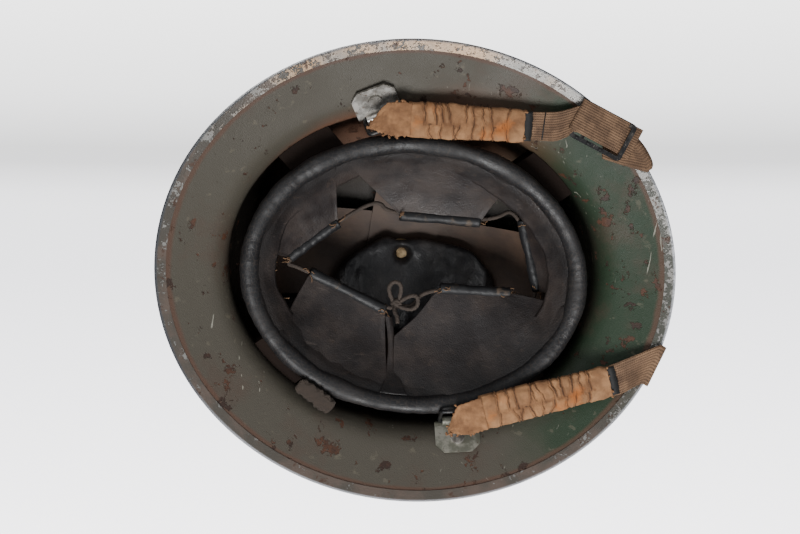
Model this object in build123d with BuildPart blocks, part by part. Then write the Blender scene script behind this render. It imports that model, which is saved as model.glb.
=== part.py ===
from build123d import *
from math import asin, atan2, cos, degrees, hypot, radians, sin, sqrt
import os

os.makedirs("parts", exist_ok=True)

# The steel bowl and its brim: over all sizes with the rim band
rim_long = 312.0
rim_wide = 277.0
crown_h = 113.5
sheet_t = 0.9
brim_slope = 22
brim_run = 30.0
brim_bend_r = 20.0
wall_slope = 84
dome_power = 2.2
crown_hole_r = 3.2

# The thin band that is folded round the edge of the brim
band_t = 0.5
band_w = 6.0

# The strap's webbing and how the helmet stands on it
web_t = 1.5
web_w = 19.0
strap_gap = 0.3
brim_lift = 1.55
seat_x = 0.02
seat_y = -0.022
rim_h = 2.942
tip_x = -0.846
tip_y = -0.785

# The liner: rolled edge, headband, crossed bars
roll_long = 202.0
roll_wide = 160.0
roll_y = 3.3
roll_h = 17.5
roll_r = 4.5
seam_gap = 0.25
fit_gap = 0.05
head_t = 1.2
head_low = 22.3
head_top = 50.0
bar_t = 1.2
bar_gap = 0.15
bar_low = 25.0
bar_top = 104.5
bar_power = 2.15
long_bar_w = 56.0
cross_bar_w = 44.0
buffer_w = 34.0
buffer_low = 27.0
buffer_top = 46.0
liner_rivet_r = 1.6
liner_rivet_head_r = 3.6
liner_rivet_h = 37.0
liner_rivet_pitch = 26.0

# The crown bolt with its head, spacers and nut
bolt_r = 2.6
bolt_head_r = 6.5
bolt_head_h = 2.0
bolt_round = 1.2
bolt_end_h = 94.2
nut_r = 4.8
nut_h = 4.0
washer_r = 9.0
washer_t = 0.9
spacer_r = 9.5

# The crown cushion under the bars
pad_t = 12.0
pad_gap = 0.4
pad_nut_r = 9.2

# The six tongues with hems for the lace
tongue_t = 1.2
tongue_base_h = 17.5
hem_h = 52.0
hem_r = 2.6
hem_bore_r = 2.0
lace_r = 1.3

# The lugs with their wire loops, and what hangs from them
lug_x = -39.0
lug_y = -99.6
upper_lug_turn = -12
lower_lug_turn = 6
lug_t = 1.5
lug_gap = 1.1
lug_w = 27.0
lug_out = 9.0
lug_in = 8.0
lug_inset = 33.5
lug_clip = 5.0
curl_t = 1.1
curl_l = 17.0
wire_r = 1.3
wire_gap = 0.25
loop_drop = 12.2
loop_w = 21.0
loop_draw = 1.0
loop_r = 2.0
loop_in = 0.8
lug_rivet_r = 2.4
lug_rivet_head_r = 4.2
lug_rivet_head_h = 1.7

# The sprung sleeves
sleeve_w = 20.5
sleeve_h = 7.2
sleeve_t = 0.8
sleeve_fold = 0.45
spring_r = 2.45
spring_wire_r = 0.45
spring_pitch = 2.9
spring_at = 4.5
hook_r = 0.8
hook_half = 4.2
plate_t = 1.4

# The buckle
buckle_l = 35.0
buckle_w = 24.0
buckle_t = 1.4
buckle_rim = 2.7
tooth_n = 7

# Angles up the domes at which their cross-sections are taken, and steps of the brim
brim_steps = 6
dome_stations = (5, 11, 18, 26, 34, 42, 50, 58, 66, 73, 79, 84, 87.5)
bar_stations = (7, 15, 24, 33, 42, 51, 60, 68, 75, 81, 85, 88)

seat = Location((seat_x, seat_y, rim_h), (tip_x, tip_y, 0))
flat = Plane(seat)
edge_h = (sheet_t + band_t) * cos(radians(brim_slope)) + band_t * sin(radians(brim_slope))
edge_out = band_t * (cos(radians(brim_slope)) + sin(radians(brim_slope)))
half_long = rim_long / 2 - edge_out
half_wide = rim_wide / 2 - edge_out
bend_h = edge_h + brim_run * sin(radians(brim_slope)) / cos(radians(brim_slope))


# A plane given in the helmet's own measure, set where the helmet stands
def stand(plane, base=seat):
    return Plane(base * plane.location)


# A surface point of the brim or the bend: inset from the edge, height, slope
def brim_point(inset):
    slope = radians(brim_slope)
    if inset <= brim_run:
        return inset, edge_h + inset * sin(slope) / cos(slope), slope
    reach = (inset - brim_run) / brim_bend_r + sin(slope)
    turn = degrees(asin(min(reach, sin(radians(wall_slope)))))
    rise = brim_bend_r * (cos(slope) - cos(radians(turn)))
    return inset, bend_h + rise, radians(turn)


# Stations of the bowl: semi-axes and height, set in by a depth along the profile's normal
def bowl_stations(depth):
    out = []
    slope = radians(brim_slope)
    for k in range(brim_steps + 1):
        inset, rise, _ = brim_point(brim_run * k / brim_steps)
        out.append((inset, rise, slope))
    for k in range(1, brim_steps + 1):
        turn = radians(brim_slope + (wall_slope - brim_slope) * k / brim_steps)
        inset = brim_run + brim_bend_r * (sin(turn) - sin(slope))
        out.append((inset, bend_h + brim_bend_r * (cos(slope) - cos(turn)), turn))
    rows = []
    for inset, rise, turn in out:
        deep = inset + depth * sin(turn)
        rows.append((half_long - deep, half_wide - deep, rise - depth * cos(turn)))
    foot_inset, foot_h, _ = out[-1]
    base_long = half_long - foot_inset
    base_wide = half_wide - foot_inset
    tall = crown_h - foot_h
    mid = (base_long + base_wide) / 2
    for station in dome_stations:
        turn = radians(station)
        wide = cos(turn) ** (2 / dome_power)
        high = sin(turn) ** (2 / dome_power)
        dwide = mid * wide * sin(turn) / cos(turn)
        dhigh = tall * high * cos(turn) / sin(turn)
        size = hypot(dwide, dhigh)
        out_part = dhigh / size
        up_part = dwide / size
        rows.append((base_long * wide - depth * out_part, base_wide * wide - depth * out_part,
                     foot_h + tall * high - depth * up_part))
    return rows


# Stations of the liner's dome of bars
def liner_stations(depth):
    rows = [(roll_long / 2 - depth, roll_wide / 2 - depth, bar_low)]
    tall = bar_top - bar_low
    mid = (roll_long + roll_wide) / 4
    for station in bar_stations:
        turn = radians(station)
        wide = cos(turn) ** (2 / bar_power)
        high = sin(turn) ** (2 / bar_power)
        dwide = mid * wide * sin(turn) / cos(turn)
        dhigh = tall * high * cos(turn) / sin(turn)
        size = hypot(dwide, dhigh)
        rows.append((roll_long / 2 * wide - depth * dhigh / size,
                     roll_wide / 2 * wide - depth * dhigh / size,
                     bar_low + tall * high - depth * dwide / size))
    return rows


# Height of the underside of a liner dome over a plan point
def dome_under(x, y, depth):
    half_l = roll_long / 2 - depth
    half_w = roll_wide / 2 - depth
    wide = min(hypot(x / half_l, (y - roll_y) / half_w), 1)
    return bar_low + (bar_top - depth - bar_low) * (1 - wide ** bar_power) ** (1 / bar_power)


def oval(half_l, half_w, rise, shift=0.0):
    with BuildSketch(flat.offset(rise)) as face:
        with Locations((0, shift)):
            Ellipse(half_l, half_w)
    return face.sketch


def oval_stack(rows, shift=0.0):
    return [oval(*row, shift) for row in rows]


# A lug's place: on the inner face of the brim, turned to the strap
_, lug_h, lug_lean = brim_point(lug_inset)
curl_out = wire_r + wire_gap + curl_t
curl_at = lug_in + curl_out
half_turn = Location((0, 0, 0), (0, 0, 180))


def lug_frame(turn):
    normal = atan2(lug_y / (half_wide - lug_inset) ** 2, lug_x / (half_long - lug_inset) ** 2)
    outward = Vector(cos(normal), sin(normal), 0)
    face_out = -(outward * sin(lug_lean) + Vector(0, 0, 1) * cos(lug_lean))
    inner = Vector(-cos(normal + radians(turn)), -sin(normal + radians(turn)), 0)
    inner = (inner - face_out * inner.dot(face_out)).normalized()
    foot = Vector(lug_x, lug_y, lug_h) + face_out * (sheet_t + lug_gap)
    return Plane(origin=foot, x_dir=inner.cross(face_out), z_dir=face_out)


lugs = ((seat, lug_frame(upper_lug_turn)), (seat * half_turn, lug_frame(lower_lug_turn)))


def curl_place(plane):
    return plane.origin + plane.y_dir * curl_at + plane.z_dir * curl_out


# The way that a wire loop hangs from its curl: down and in
def hang_way(plane):
    inner = Vector(plane.y_dir.X, plane.y_dir.Y, 0).normalized()
    way = inner * loop_in - Vector(0, 0, 1)
    return (way - plane.x_dir * way.dot(plane.x_dir)).normalized()


# The bowl
with BuildPart() as bowl_core:
    loft(oval_stack(bowl_stations(sheet_t)))

with BuildPart() as shell:
    loft(oval_stack(bowl_stations(0)))
    add(bowl_core.part, mode=Mode.SUBTRACT)
    with Locations(seat * Location((0, 0, crown_h))):
        Cylinder(crown_hole_r, crown_h, mode=Mode.SUBTRACT)
    for base, plane in lugs:
        with Locations(base * plane.location):
            Cylinder(lug_rivet_r + fit_gap, lug_w, mode=Mode.SUBTRACT)
shell.part.label = "shell"
export_step(shell.part, "parts/shell.step")


# A corner of the rim band's section, from distances along and out of the sheet
def band_corner(along, out):
    slope = radians(brim_slope)
    inset = along * cos(slope) - out * sin(slope)
    return half_long - inset, half_wide - inset, edge_h + along * sin(slope) + out * cos(slope)


with BuildPart() as rim_band:
    low = oval(*band_corner(-band_t, -sheet_t - band_t))
    high = oval(*band_corner(band_w, band_t))
    loft([low, oval(*band_corner(-band_t, band_t)), high], ruled=True)
    loft([low, oval(*band_corner(band_w, -sheet_t - band_t)), high], ruled=True, mode=Mode.SUBTRACT)
    add(shell.part, mode=Mode.SUBTRACT)
rim_band.part.label = "rim_band"
export_step(rim_band.part, "parts/rim_band.step")

# The liner's rolled edge
with BuildPart() as rolled_edge:
    with BuildLine(flat.offset(roll_h)) as roll_line:
        EllipticalCenterArc((0, roll_y), roll_long / 2, roll_wide / 2, arc_size=360)
    with BuildSketch(stand(Plane(origin=(roll_long / 2, roll_y, roll_h), x_dir=(1, 0, 0), z_dir=(0, 1, 0)))):
        Circle(roll_r)
    sweep(path=roll_line.wires()[0])
rolled_edge.part.label = "rolled_edge"
export_step(rolled_edge.part, "parts/rolled_edge.step")

# The headband that stands on the rolled edge
head_out = head_t / 2
with BuildPart() as headband:
    outer = oval(roll_long / 2 + head_out, roll_wide / 2 + head_out, head_low, roll_y)
    extrude(outer, amount=head_top - head_low)
    inner = oval(roll_long / 2 - head_out, roll_wide / 2 - head_out, head_low, roll_y)
    extrude(inner, amount=head_top - head_low, mode=Mode.SUBTRACT)

# The bars that cross at the crown, each a strip of a dome
bar_depth = head_out + bar_gap
cross_depth = bar_depth + bar_t + bar_gap
with BuildPart() as long_bar:
    loft(oval_stack(liner_stations(bar_depth), roll_y))
    loft(oval_stack(liner_stations(bar_depth + bar_t), roll_y), mode=Mode.SUBTRACT)
    with BuildSketch(flat):
        with Locations((0, roll_y)):
            Rectangle(rim_long, long_bar_w)
    extrude(amount=crown_h, mode=Mode.INTERSECT)

with BuildPart() as cross_bar:
    loft(oval_stack(liner_stations(cross_depth), roll_y))
    loft(oval_stack(liner_stations(cross_depth + bar_t), roll_y), mode=Mode.SUBTRACT)
    with BuildSketch(flat):
        Rectangle(cross_bar_w, rim_long)
    extrude(amount=crown_h, mode=Mode.INTERSECT)

# Rivets that join bars and headband, in pairs at the four ends
rivet_places = []
for side in (-1, 1):
    for pair in (-1, 1):
        across = pair * liner_rivet_pitch / 2
        reach = side * roll_long / 2 * sqrt(1 - (across / (roll_wide / 2)) ** 2)
        turn = degrees(atan2(across / roll_wide ** 2, reach / roll_long ** 2))
        rivet_places.append((reach, across + roll_y, turn, head_out + bar_gap + bar_t))
        reach = side * roll_wide / 2 * sqrt(1 - (across / (roll_long / 2)) ** 2)
        turn = degrees(atan2(reach / roll_wide ** 2, across / roll_long ** 2))
        rivet_places.append((across, roll_y + reach, turn, head_out + 2 * bar_gap + 2 * bar_t))

# Bars lean in over the height of the rivets, so their shanks run on and carry a flat burr
rivet_lean = 3.0
with BuildPart() as liner_rivets:
    for x, y, turn, deep in rivet_places:
        place = seat * Location((x, y, liner_rivet_h), (0, 0, turn)) * Location((0, 0, 0), (0, 90, 0))
        with Locations(place * Location((0, 0, head_out + seam_gap + liner_rivet_r / 2))):
            Cylinder(liner_rivet_head_r, liner_rivet_r)
        with Locations(place * Location((0, 0, (head_out + seam_gap - deep - rivet_lean) / 2))):
            Cylinder(liner_rivet_r, head_out + seam_gap + deep + rivet_lean)
        with Locations(place * Location((0, 0, -deep - rivet_lean - liner_rivet_r / 2))):
            Cylinder(liner_rivet_head_r, liner_rivet_r)
liner_rivets.part.label = "liner_rivets"
export_step(liner_rivets.part, "parts/liner_rivets.step")

# The crown bolt, with a washer, a spacer, the bars' own washer and the nut
spacer_low = dome_under(0, roll_y, bar_depth)
spacer_top = crown_h - sheet_t
under_cross = dome_under(washer_r, -washer_r, cross_depth + bar_t)
with BuildPart() as crown_bolt:
    with BuildSketch(flat.offset(bolt_end_h)):
        Circle(bolt_r)
    extrude(amount=crown_h + seam_gap - bolt_end_h)
    with BuildSketch(flat.offset(crown_h + seam_gap)):
        Circle(bolt_head_r)
    extrude(amount=bolt_head_h)
    fillet(crown_bolt.edges().group_by(Axis.Z)[-1], bolt_round)
crown_bolt.part.label = "crown_bolt"
export_step(crown_bolt.part, "parts/crown_bolt.step")

with BuildPart() as crown_spacer:
    with BuildSketch(flat.offset(spacer_low + bar_gap)):
        Circle(spacer_r)
        Circle(crown_hole_r, mode=Mode.SUBTRACT)
    extrude(amount=spacer_top - spacer_low - 2 * bar_gap)
    add(shell.part, mode=Mode.SUBTRACT)
crown_spacer.part.label = "crown_spacer"
export_step(crown_spacer.part, "parts/crown_spacer.step")

with BuildPart() as crown_washer:
    with BuildSketch(flat.offset(under_cross - bar_gap - washer_t)):
        Circle(washer_r)
        Circle(crown_hole_r, mode=Mode.SUBTRACT)
    extrude(amount=washer_t)
crown_washer.part.label = "crown_washer"
export_step(crown_washer.part, "parts/crown_washer.step")

nut_top = under_cross - bar_gap - washer_t - fit_gap
with BuildPart() as crown_nut:
    with BuildSketch(flat.offset(nut_top - nut_h)):
        RegularPolygon(nut_r, 6)
        Circle(bolt_r + fit_gap, mode=Mode.SUBTRACT)
    extrude(amount=nut_h)
crown_nut.part.label = "crown_nut"
export_step(crown_nut.part, "parts/crown_nut.step")

# Holes in the bars and the headband for the bolt and the rivets
with BuildPart() as liner_holes:
    with Locations(seat * Location((0, 0, crown_h))):
        Cylinder(crown_hole_r, crown_h)
    for x, y, turn, deep in rivet_places:
        place = seat * Location((x, y, liner_rivet_h), (0, 0, turn)) * Location((0, 0, 0), (0, 90, 0))
        with Locations(place):
            Cylinder(liner_rivet_r + fit_gap, liner_rivet_pitch)

with BuildPart() as drilled_headband:
    add(headband.part)
    add(liner_holes.part, mode=Mode.SUBTRACT)
drilled_headband.part.label = "headband"
export_step(drilled_headband.part, "parts/headband.step")

with BuildPart() as drilled_long_bar:
    add(long_bar.part)
    add(liner_holes.part, mode=Mode.SUBTRACT)
drilled_long_bar.part.label = "long_bar"
export_step(drilled_long_bar.part, "parts/long_bar.step")

with BuildPart() as drilled_cross_bar:
    add(cross_bar.part)
    add(liner_holes.part, mode=Mode.SUBTRACT)
drilled_cross_bar.part.label = "cross_bar"
export_step(drilled_cross_bar.part, "parts/cross_bar.step")

# Four rubber buffers between headband and bowl
with BuildPart() as buffers:
    loft(oval_stack(bowl_stations(sheet_t + seam_gap)))
    with BuildSketch(flat.offset(buffer_low)):
        for turn in (45, 135, 225, 315):
            x = half_long * cos(radians(turn))
            y = half_wide * sin(radians(turn))
            with Locations(Location((x, y), degrees(atan2(y, x)))):
                Rectangle(half_long, buffer_w)
    extrude(amount=buffer_top - buffer_low, mode=Mode.INTERSECT)
    inner = oval(roll_long / 2 + head_out + seam_gap, roll_wide / 2 + head_out + seam_gap, 0, roll_y)
    extrude(inner, amount=crown_h, mode=Mode.SUBTRACT)
buffers.part.label = "buffers"
export_step(buffers.part, "parts/buffers.step")

# The crown cushion: across x its depth swells and draws in at the sewn channels
pad_rows = (
    (-41, 20, 27, 0.35), (-38, 12, 34, 0.7), (-31, 3.5, 42, 0.95), (-22.5, -2.5, 45, 0.66), (-12, -9.5, 47, 0.98),
    (-2, -8.5, 48, 0.78), (10, -11, 48, 1.0), (23, -10.5, 48, 0.7), (34, -9.8, 47, 1.0), (44, -7, 45, 0.74),
    (53, 1, 41, 0.95), (58, 8, 33, 0.6), (60, 13, 26, 0.3),
)

pad_round = 1 / 12

def pad_top(x, y):
    under = dome_under(x, y, cross_depth + bar_t)
    return under - washer_t / 2 - pad_gap


with BuildPart() as crown_pad:
    for x, low, high, fat in pad_rows:
        mid = (low + high) / 2
        deep = pad_t * fat
        with BuildSketch(stand(Plane(origin=(x, 0, 0), x_dir=(0, 1, 0), z_dir=(1, 0, 0)))):
            with BuildLine():
                Spline(
                    (low, pad_top(x, low) - deep / 2),
                    ((low * 3 + mid) / 4, pad_top(x, (low * 3 + mid) / 4) - deep * pad_round),
                    (mid, pad_top(x, mid)),
                    ((high * 3 + mid) / 4, pad_top(x, (high * 3 + mid) / 4) - deep * pad_round),
                    (high, pad_top(x, high) - deep / 2),
                    ((high * 3 + mid) / 4, pad_top(x, (high * 3 + mid) / 4) - deep * (1 - pad_round)),
                    (mid, pad_top(x, mid) - deep),
                    ((low * 3 + mid) / 4, pad_top(x, (low * 3 + mid) / 4) - deep * (1 - pad_round)),
                    periodic=True,
                )
            make_face()
    loft()
    with Locations(seat * Location((0, 0, crown_h))):
        Cylinder(pad_nut_r, crown_h, mode=Mode.SUBTRACT)
crown_pad.part.label = "crown_pad"
export_step(crown_pad.part, "parts/crown_pad.step")

# The tongues: base angles on the rolled edge, and points of the upper edge
in_long = roll_long / 2 - roll_r - tongue_t - seam_gap
in_wide = roll_wide / 2 - roll_r - tongue_t - seam_gap


def base_point(turn):
    return in_long * cos(radians(turn)), roll_y + in_wide * sin(radians(turn))


# Shares of a tongue's reach and rise along its curve, and of its thickness back and up
tongue_shares = ((0, 0), (0.26, 0.36), (0.62, 0.72), (1, 1))
tongue_normal_shares = ((0.8, 0.6), (0.75, 0.66), (0.55, 0.85), (0.4, 0.92))


# One fan of upright sections from the rolled edge up to the hem, lofted
def tongue_sections(rows, swell):
    faces = []
    for turn, top_x, top_y, top_h in rows:
        base_x, base_y = base_point(turn)
        run = hypot(top_x - base_x, top_y - base_y)
        toward = ((top_x - base_x) / run, (top_y - base_y) / run, 0)
        side = Vector(toward).cross(Vector(0, 0, 1))
        tall = top_h - tongue_base_h
        with BuildSketch(stand(Plane(origin=(base_x, base_y, tongue_base_h), x_dir=toward, z_dir=side))) as face:
            with BuildLine():
                under = [(run * x, tall * (y + swell * (0 < y < 1))) for x, y in tongue_shares]
                low = Spline(*under)
                top = Spline(*[(x - tongue_t * back, y + tongue_t * up)
                               for (x, y), (back, up) in zip(under, tongue_normal_shares)])
                Line(low @ 0, top @ 0)
                Line(low @ 1, top @ 1)
            make_face()
        faces.append(face.sketch)
    return faces


# The hem tube along a tongue's straight upper edge
def hem(first, last, radius, more=0.0):
    run = Vector(*last) - Vector(*first)
    along = run.normalized()
    start = Vector(*first) - along * more
    with BuildPart() as rod:
        with BuildSketch(stand(Plane(origin=start, x_dir=(0, 0, 1), z_dir=along))):
            Circle(radius)
        extrude(amount=run.length + 2 * more)
    return rod.part


def fan(turns, first, last, lead=()):
    rows = list(lead)
    steps = len(turns) - 1
    for k, turn in enumerate(turns):
        share = k / steps
        rows.append((turn, first[0] + (last[0] - first[0]) * share, first[1] + (last[1] - first[1]) * share, hem_h))
    return rows


hem_ends = {
    "tongue_rear_left": ((-60.3, 13.2, hem_h), (-11.0, 31.3, hem_h)),
    "tongue_rear_right": ((21.3, 13.6, hem_h), (65.5, 11.5, hem_h)),
    "tongue_front": ((82.2, 7.7, hem_h), (66.4, -34.8, hem_h)),
    "tongue_far": ((40.4, -30.3, hem_h), (-9.7, -28.6, hem_h)),
    "tongue_left": ((-47.1, -19.6, hem_h), (-73.9, 5.6, hem_h)),
}
# The turn of each tongue's sections round the ring, in degrees, and how far it bellies upwards
tongue_turns = {
    "tongue_rear_left": (144, 131, 118, 106, 94),
    "tongue_rear_right": (70, 54, 38, 22, 6),
    "tongue_front": (3, -11, -25, -39, -53),
    "tongue_far": (-57, -72, -89, -106, -122),
    "tongue_left": (-126, -140, -154, -167, -178),
}
rear_swell = 0.05
side_swell = 0.02
rear_right_lead = ((92, -4.5, 45, 43.5), (81, 8.5, 31.5, 47.5))
torn_lead = (
    (180, -86.5, 4.5, 36.0), (171, -84.5, 11.0, 42.0), (163, -83.0, 20.0, 40.0), (155, -80.0, 28.0, 44.0), (148, -75.0, 33.0, 39.0),
)

with BuildPart() as tongue_rear_left:
    ends = hem_ends["tongue_rear_left"]
    loft(tongue_sections(fan(tongue_turns["tongue_rear_left"], *ends), rear_swell))
    add(hem(*ends, hem_r))
    add(hem(*ends, hem_bore_r, hem_r), mode=Mode.SUBTRACT)
tongue_rear_left.part.label = "tongue_rear_left"
export_step(tongue_rear_left.part, "parts/tongue_rear_left.step")

with BuildPart() as tongue_rear_right:
    ends = hem_ends["tongue_rear_right"]
    loft(tongue_sections(fan(tongue_turns["tongue_rear_right"], *ends, rear_right_lead), rear_swell))
    add(hem(*ends, hem_r))
    add(hem(*ends, hem_bore_r, 2 * hem_r), mode=Mode.SUBTRACT)
tongue_rear_right.part.label = "tongue_rear_right"
export_step(tongue_rear_right.part, "parts/tongue_rear_right.step")

with BuildPart() as tongue_front:
    ends = hem_ends["tongue_front"]
    loft(tongue_sections(fan(tongue_turns["tongue_front"], *ends), side_swell))
    add(hem(*ends, hem_r))
    add(hem(*ends, hem_bore_r, hem_r), mode=Mode.SUBTRACT)
tongue_front.part.label = "tongue_front"
export_step(tongue_front.part, "parts/tongue_front.step")

with BuildPart() as tongue_far:
    ends = hem_ends["tongue_far"]
    loft(tongue_sections(fan(tongue_turns["tongue_far"], *ends), rear_swell))
    add(hem(*ends, hem_r))
    add(hem(*ends, hem_bore_r, hem_r), mode=Mode.SUBTRACT)
tongue_far.part.label = "tongue_far"
export_step(tongue_far.part, "parts/tongue_far.step")

with BuildPart() as tongue_left:
    ends = hem_ends["tongue_left"]
    loft(tongue_sections(fan(tongue_turns["tongue_left"], *ends), side_swell))
    add(hem(*ends, hem_r))
    add(hem(*ends, hem_bore_r, hem_r), mode=Mode.SUBTRACT)
tongue_left.part.label = "tongue_left"
export_step(tongue_left.part, "parts/tongue_left.step")

with BuildPart() as tongue_torn:
    loft(tongue_sections(torn_lead, 0))
tongue_torn.part.label = "tongue_torn"
export_step(tongue_torn.part, "parts/tongue_torn.step")

# The lace: a hand-chosen route through the hems, whole with its knot, bow and tail
knot = (-4.8, 26.4)
knot_r = 3.3
lace_points = (
    (-5.5, 28.3, 0), (-7.2, 32.7, 0), (-67.3, 10.6, 0), (-78.2, 9.65, 0), (-41.3, -25.1, 0), (-24, -36.5, 0),
    (-17, -28.35, 0), (47, -30.5, 0), (62.9, -44.2, 0), (85.3, 16.1, 0), (71.5, 11.2, 0), (12, 14.05, 0),
    (5, 29.5, 0), (-2.6, 26.7, 0),
)
lace_radii = (3.5, 10.0, 2.6, 12.0, 6.0, 7.0, 10.0, 5.5, 3.6, 12.0, 8.0, 4.5)
bow_points = (
    ((-6.7, 25.4, -1), (-10.5, 15.5, -3.4), (-3.5, 14.5, -3.4), (-3.6, 24.4, -1)),
    ((-3.2, 27.6, -1.5), (6.8, 26.5, -4.2), (4.8, 18.6, -4.6), (-2.6, 24.6, -1.9)),
)
bow_radius = 2.6
tail_points = ((-5.4, 27.6, -2.2), (-4.6, 32, -6.5), (-3.3, 36.8, -9.0))
tail_radius = 8.0


# A round cord along a route, with arcs at its corners
def cord(points, radius, corners, plane, close=False):
    with BuildPart() as run:
        with BuildLine(plane) as line:
            FilletPolyline(*points, radius=corners, close=close)
        with BuildSketch(Plane(line.line ^ 0)):
            Circle(radius)
        sweep(path=line.line)
    return run.part


with BuildPart() as lace:
    add(cord(lace_points, lace_r, lace_radii, flat.offset(hem_h)))
    for points in bow_points:
        add(cord(points, lace_r, bow_radius, flat.offset(hem_h)))
    add(cord(tail_points, lace_r, tail_radius, flat.offset(hem_h)))
    with Locations(seat * Location((*knot, hem_h - lace_r / 2))):
        Sphere(knot_r)
lace.part.label = "lace"
export_step(lace.part, "parts/lace.step")

# Felt tab between the rolled edge and the brim
felt_t = 4.0
felt_l = 26.0
felt_w = 11.0
felt_x = -51.0
felt_y = 81.6
felt_way = (0.86, 0.5, 0)
felt_plane = Plane(origin=(felt_x, felt_y, roll_h - roll_r - seam_gap - felt_t / 2), x_dir=felt_way)
with BuildPart() as felt_tab:
    with BuildSketch(stand(felt_plane)):
        RectangleRounded(felt_l, felt_w, felt_t)
    extrude(amount=felt_t / 2, both=True)
felt_tab.part.label = "felt_tab"
export_step(felt_tab.part, "parts/felt_tab.step")

# Builds the same plate with a curl for the wire at either lug
def lug_solid(base, plane):
    with BuildPart() as plate:
        with BuildSketch(stand(plane, base)):
            with BuildLine():
                Polyline(
                    (-lug_w / 2, lug_in + curl_out), (-lug_w / 2, lug_clip - lug_out), (lug_clip - lug_w / 2, -lug_out),
                    (lug_w / 2 - lug_clip, -lug_out), (lug_w / 2, lug_clip - lug_out), (lug_w / 2, lug_in + curl_out),
                    close=True,
                )
            make_face()
        extrude(amount=lug_t)
        curl = Plane(origin=curl_place(plane) - plane.x_dir * (curl_l / 2), x_dir=plane.y_dir, z_dir=plane.x_dir)
        with BuildSketch(stand(curl, base)):
            Circle(curl_out)
        extrude(amount=curl_l)
        with BuildSketch(stand(curl, base)):
            Circle(wire_r + wire_gap)
        extrude(amount=lug_w, both=True, mode=Mode.SUBTRACT)
        with BuildSketch(stand(plane, base)):
            Circle(lug_rivet_r + fit_gap)
        extrude(amount=lug_w, both=True, mode=Mode.SUBTRACT)
    return plate.part


def loop_solid(base, plane):
    hang = hang_way(plane)
    frame = Plane(origin=curl_place(plane), x_dir=plane.x_dir, z_dir=plane.x_dir.cross(hang))
    corners = (
        (loop_w / 2, 0, 0), (loop_w / 2 - loop_draw, loop_drop, 0), (loop_draw - loop_w / 2, loop_drop, 0),
        (-loop_w / 2, 0, 0),
    )
    return cord(corners, wire_r, loop_r, stand(frame, base), True)


with BuildPart() as lug_upper:
    add(lug_solid(*lugs[0]))
lug_upper.part.label = "lug_upper"
export_step(lug_upper.part, "parts/lug_upper.step")

with BuildPart() as lug_lower:
    add(lug_solid(*lugs[1]))
lug_lower.part.label = "lug_lower"
export_step(lug_lower.part, "parts/lug_lower.step")

with BuildPart() as loop_upper:
    add(loop_solid(*lugs[0]))
loop_upper.part.label = "loop_upper"
export_step(loop_upper.part, "parts/loop_upper.step")

with BuildPart() as loop_lower:
    add(loop_solid(*lugs[1]))
loop_lower.part.label = "loop_lower"
export_step(loop_lower.part, "parts/loop_lower.step")

with BuildPart() as lug_rivets:
    for base, plane in lugs:
        with BuildSketch(stand(plane.offset(lug_t + fit_gap), base)):
            Circle(lug_rivet_head_r)
        extrude(amount=lug_rivet_head_h)
        with BuildSketch(stand(plane.offset(lug_t + fit_gap), base)):
            Circle(lug_rivet_r)
        extrude(amount=-(lug_t + lug_gap + sheet_t + lug_rivet_head_h))
        with BuildSketch(stand(plane.offset(-lug_gap - sheet_t - lug_rivet_head_h / 2), base)):
            Circle(lug_rivet_head_r)
        extrude(amount=-lug_rivet_head_h)
lug_rivets.part.label = "lug_rivets"
export_step(lug_rivets.part, "parts/lug_rivets.step")


# A strap's frame: from a start point to an end point, z up
def run_plane(first, last):
    along = (Vector(*last) - Vector(*first)).normalized()
    return Plane(origin=first, x_dir=along, z_dir=Vector(0, 0, 1) - along * along.Z)


# The wire's crossing that each hook goes round, on the loop's side that the strap pulls
hook_share = 0.62


def crossing(side, plane):
    reach = side * (loop_w / 2 - loop_draw * hook_share)
    return curl_place(plane) + hang_way(plane) * (loop_drop * hook_share) + plane.x_dir * reach


cross_upper = crossing(-1, lugs[0][1])
cross_mirror = crossing(1, lugs[1][1])
cross_lower = Vector(-cross_mirror.X, -cross_mirror.Y, cross_mirror.Z)
sleeve_start_h = 7.4
sleeve_after = 5.0
upper_end = Vector(50.05, -94.9, 2.7)
lower_end = Vector(123.6, 50.8, 0.95)


# Where a sleeve starts: a step from the hook's crossing towards its far end, at its own height
def sleeve_start(crossing, far):
    way = Vector(far.X - crossing.X, far.Y - crossing.Y, 0).normalized()
    spot = crossing + way * sleeve_after
    return Vector(spot.X, spot.Y, sleeve_start_h)


upper_start = sleeve_start(cross_upper, upper_end)
lower_start = sleeve_start(cross_lower, lower_end)
upper_run = run_plane(upper_start, upper_end)
lower_run = run_plane(lower_start, lower_end)
upper_len = (upper_end - upper_start).length
lower_len = (lower_end - lower_start).length
fold_pitch = 4.2
flap_t = 0.9
flap_points = ((1, -9.6), (-13, -9.6), (-21.5, 2.6), (-21.5, 5.6), (-13, 9.8), (1, 9.8))
bore_w = sleeve_w - 2 * sleeve_t - fold_pitch / 8
bore_h = sleeve_h - 2 * sleeve_t - fold_pitch / 8


# Cross-sections of a gathered tube, wide and narrow in turn
def gather_faces(run, length):
    steps = 2 * int(length / fold_pitch)
    faces = []
    for k in range(steps + 1):
        swell = sleeve_fold if k % 2 else -sleeve_fold
        plane = Plane(origin=run.origin + run.x_dir * (length * k / steps), x_dir=run.y_dir, z_dir=run.x_dir)
        with BuildSketch(stand(plane)) as face:
            RectangleRounded(sleeve_w + swell, sleeve_h + swell, sleeve_h / 2 - sleeve_t)
        faces.append(face.sketch)
    return faces


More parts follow.
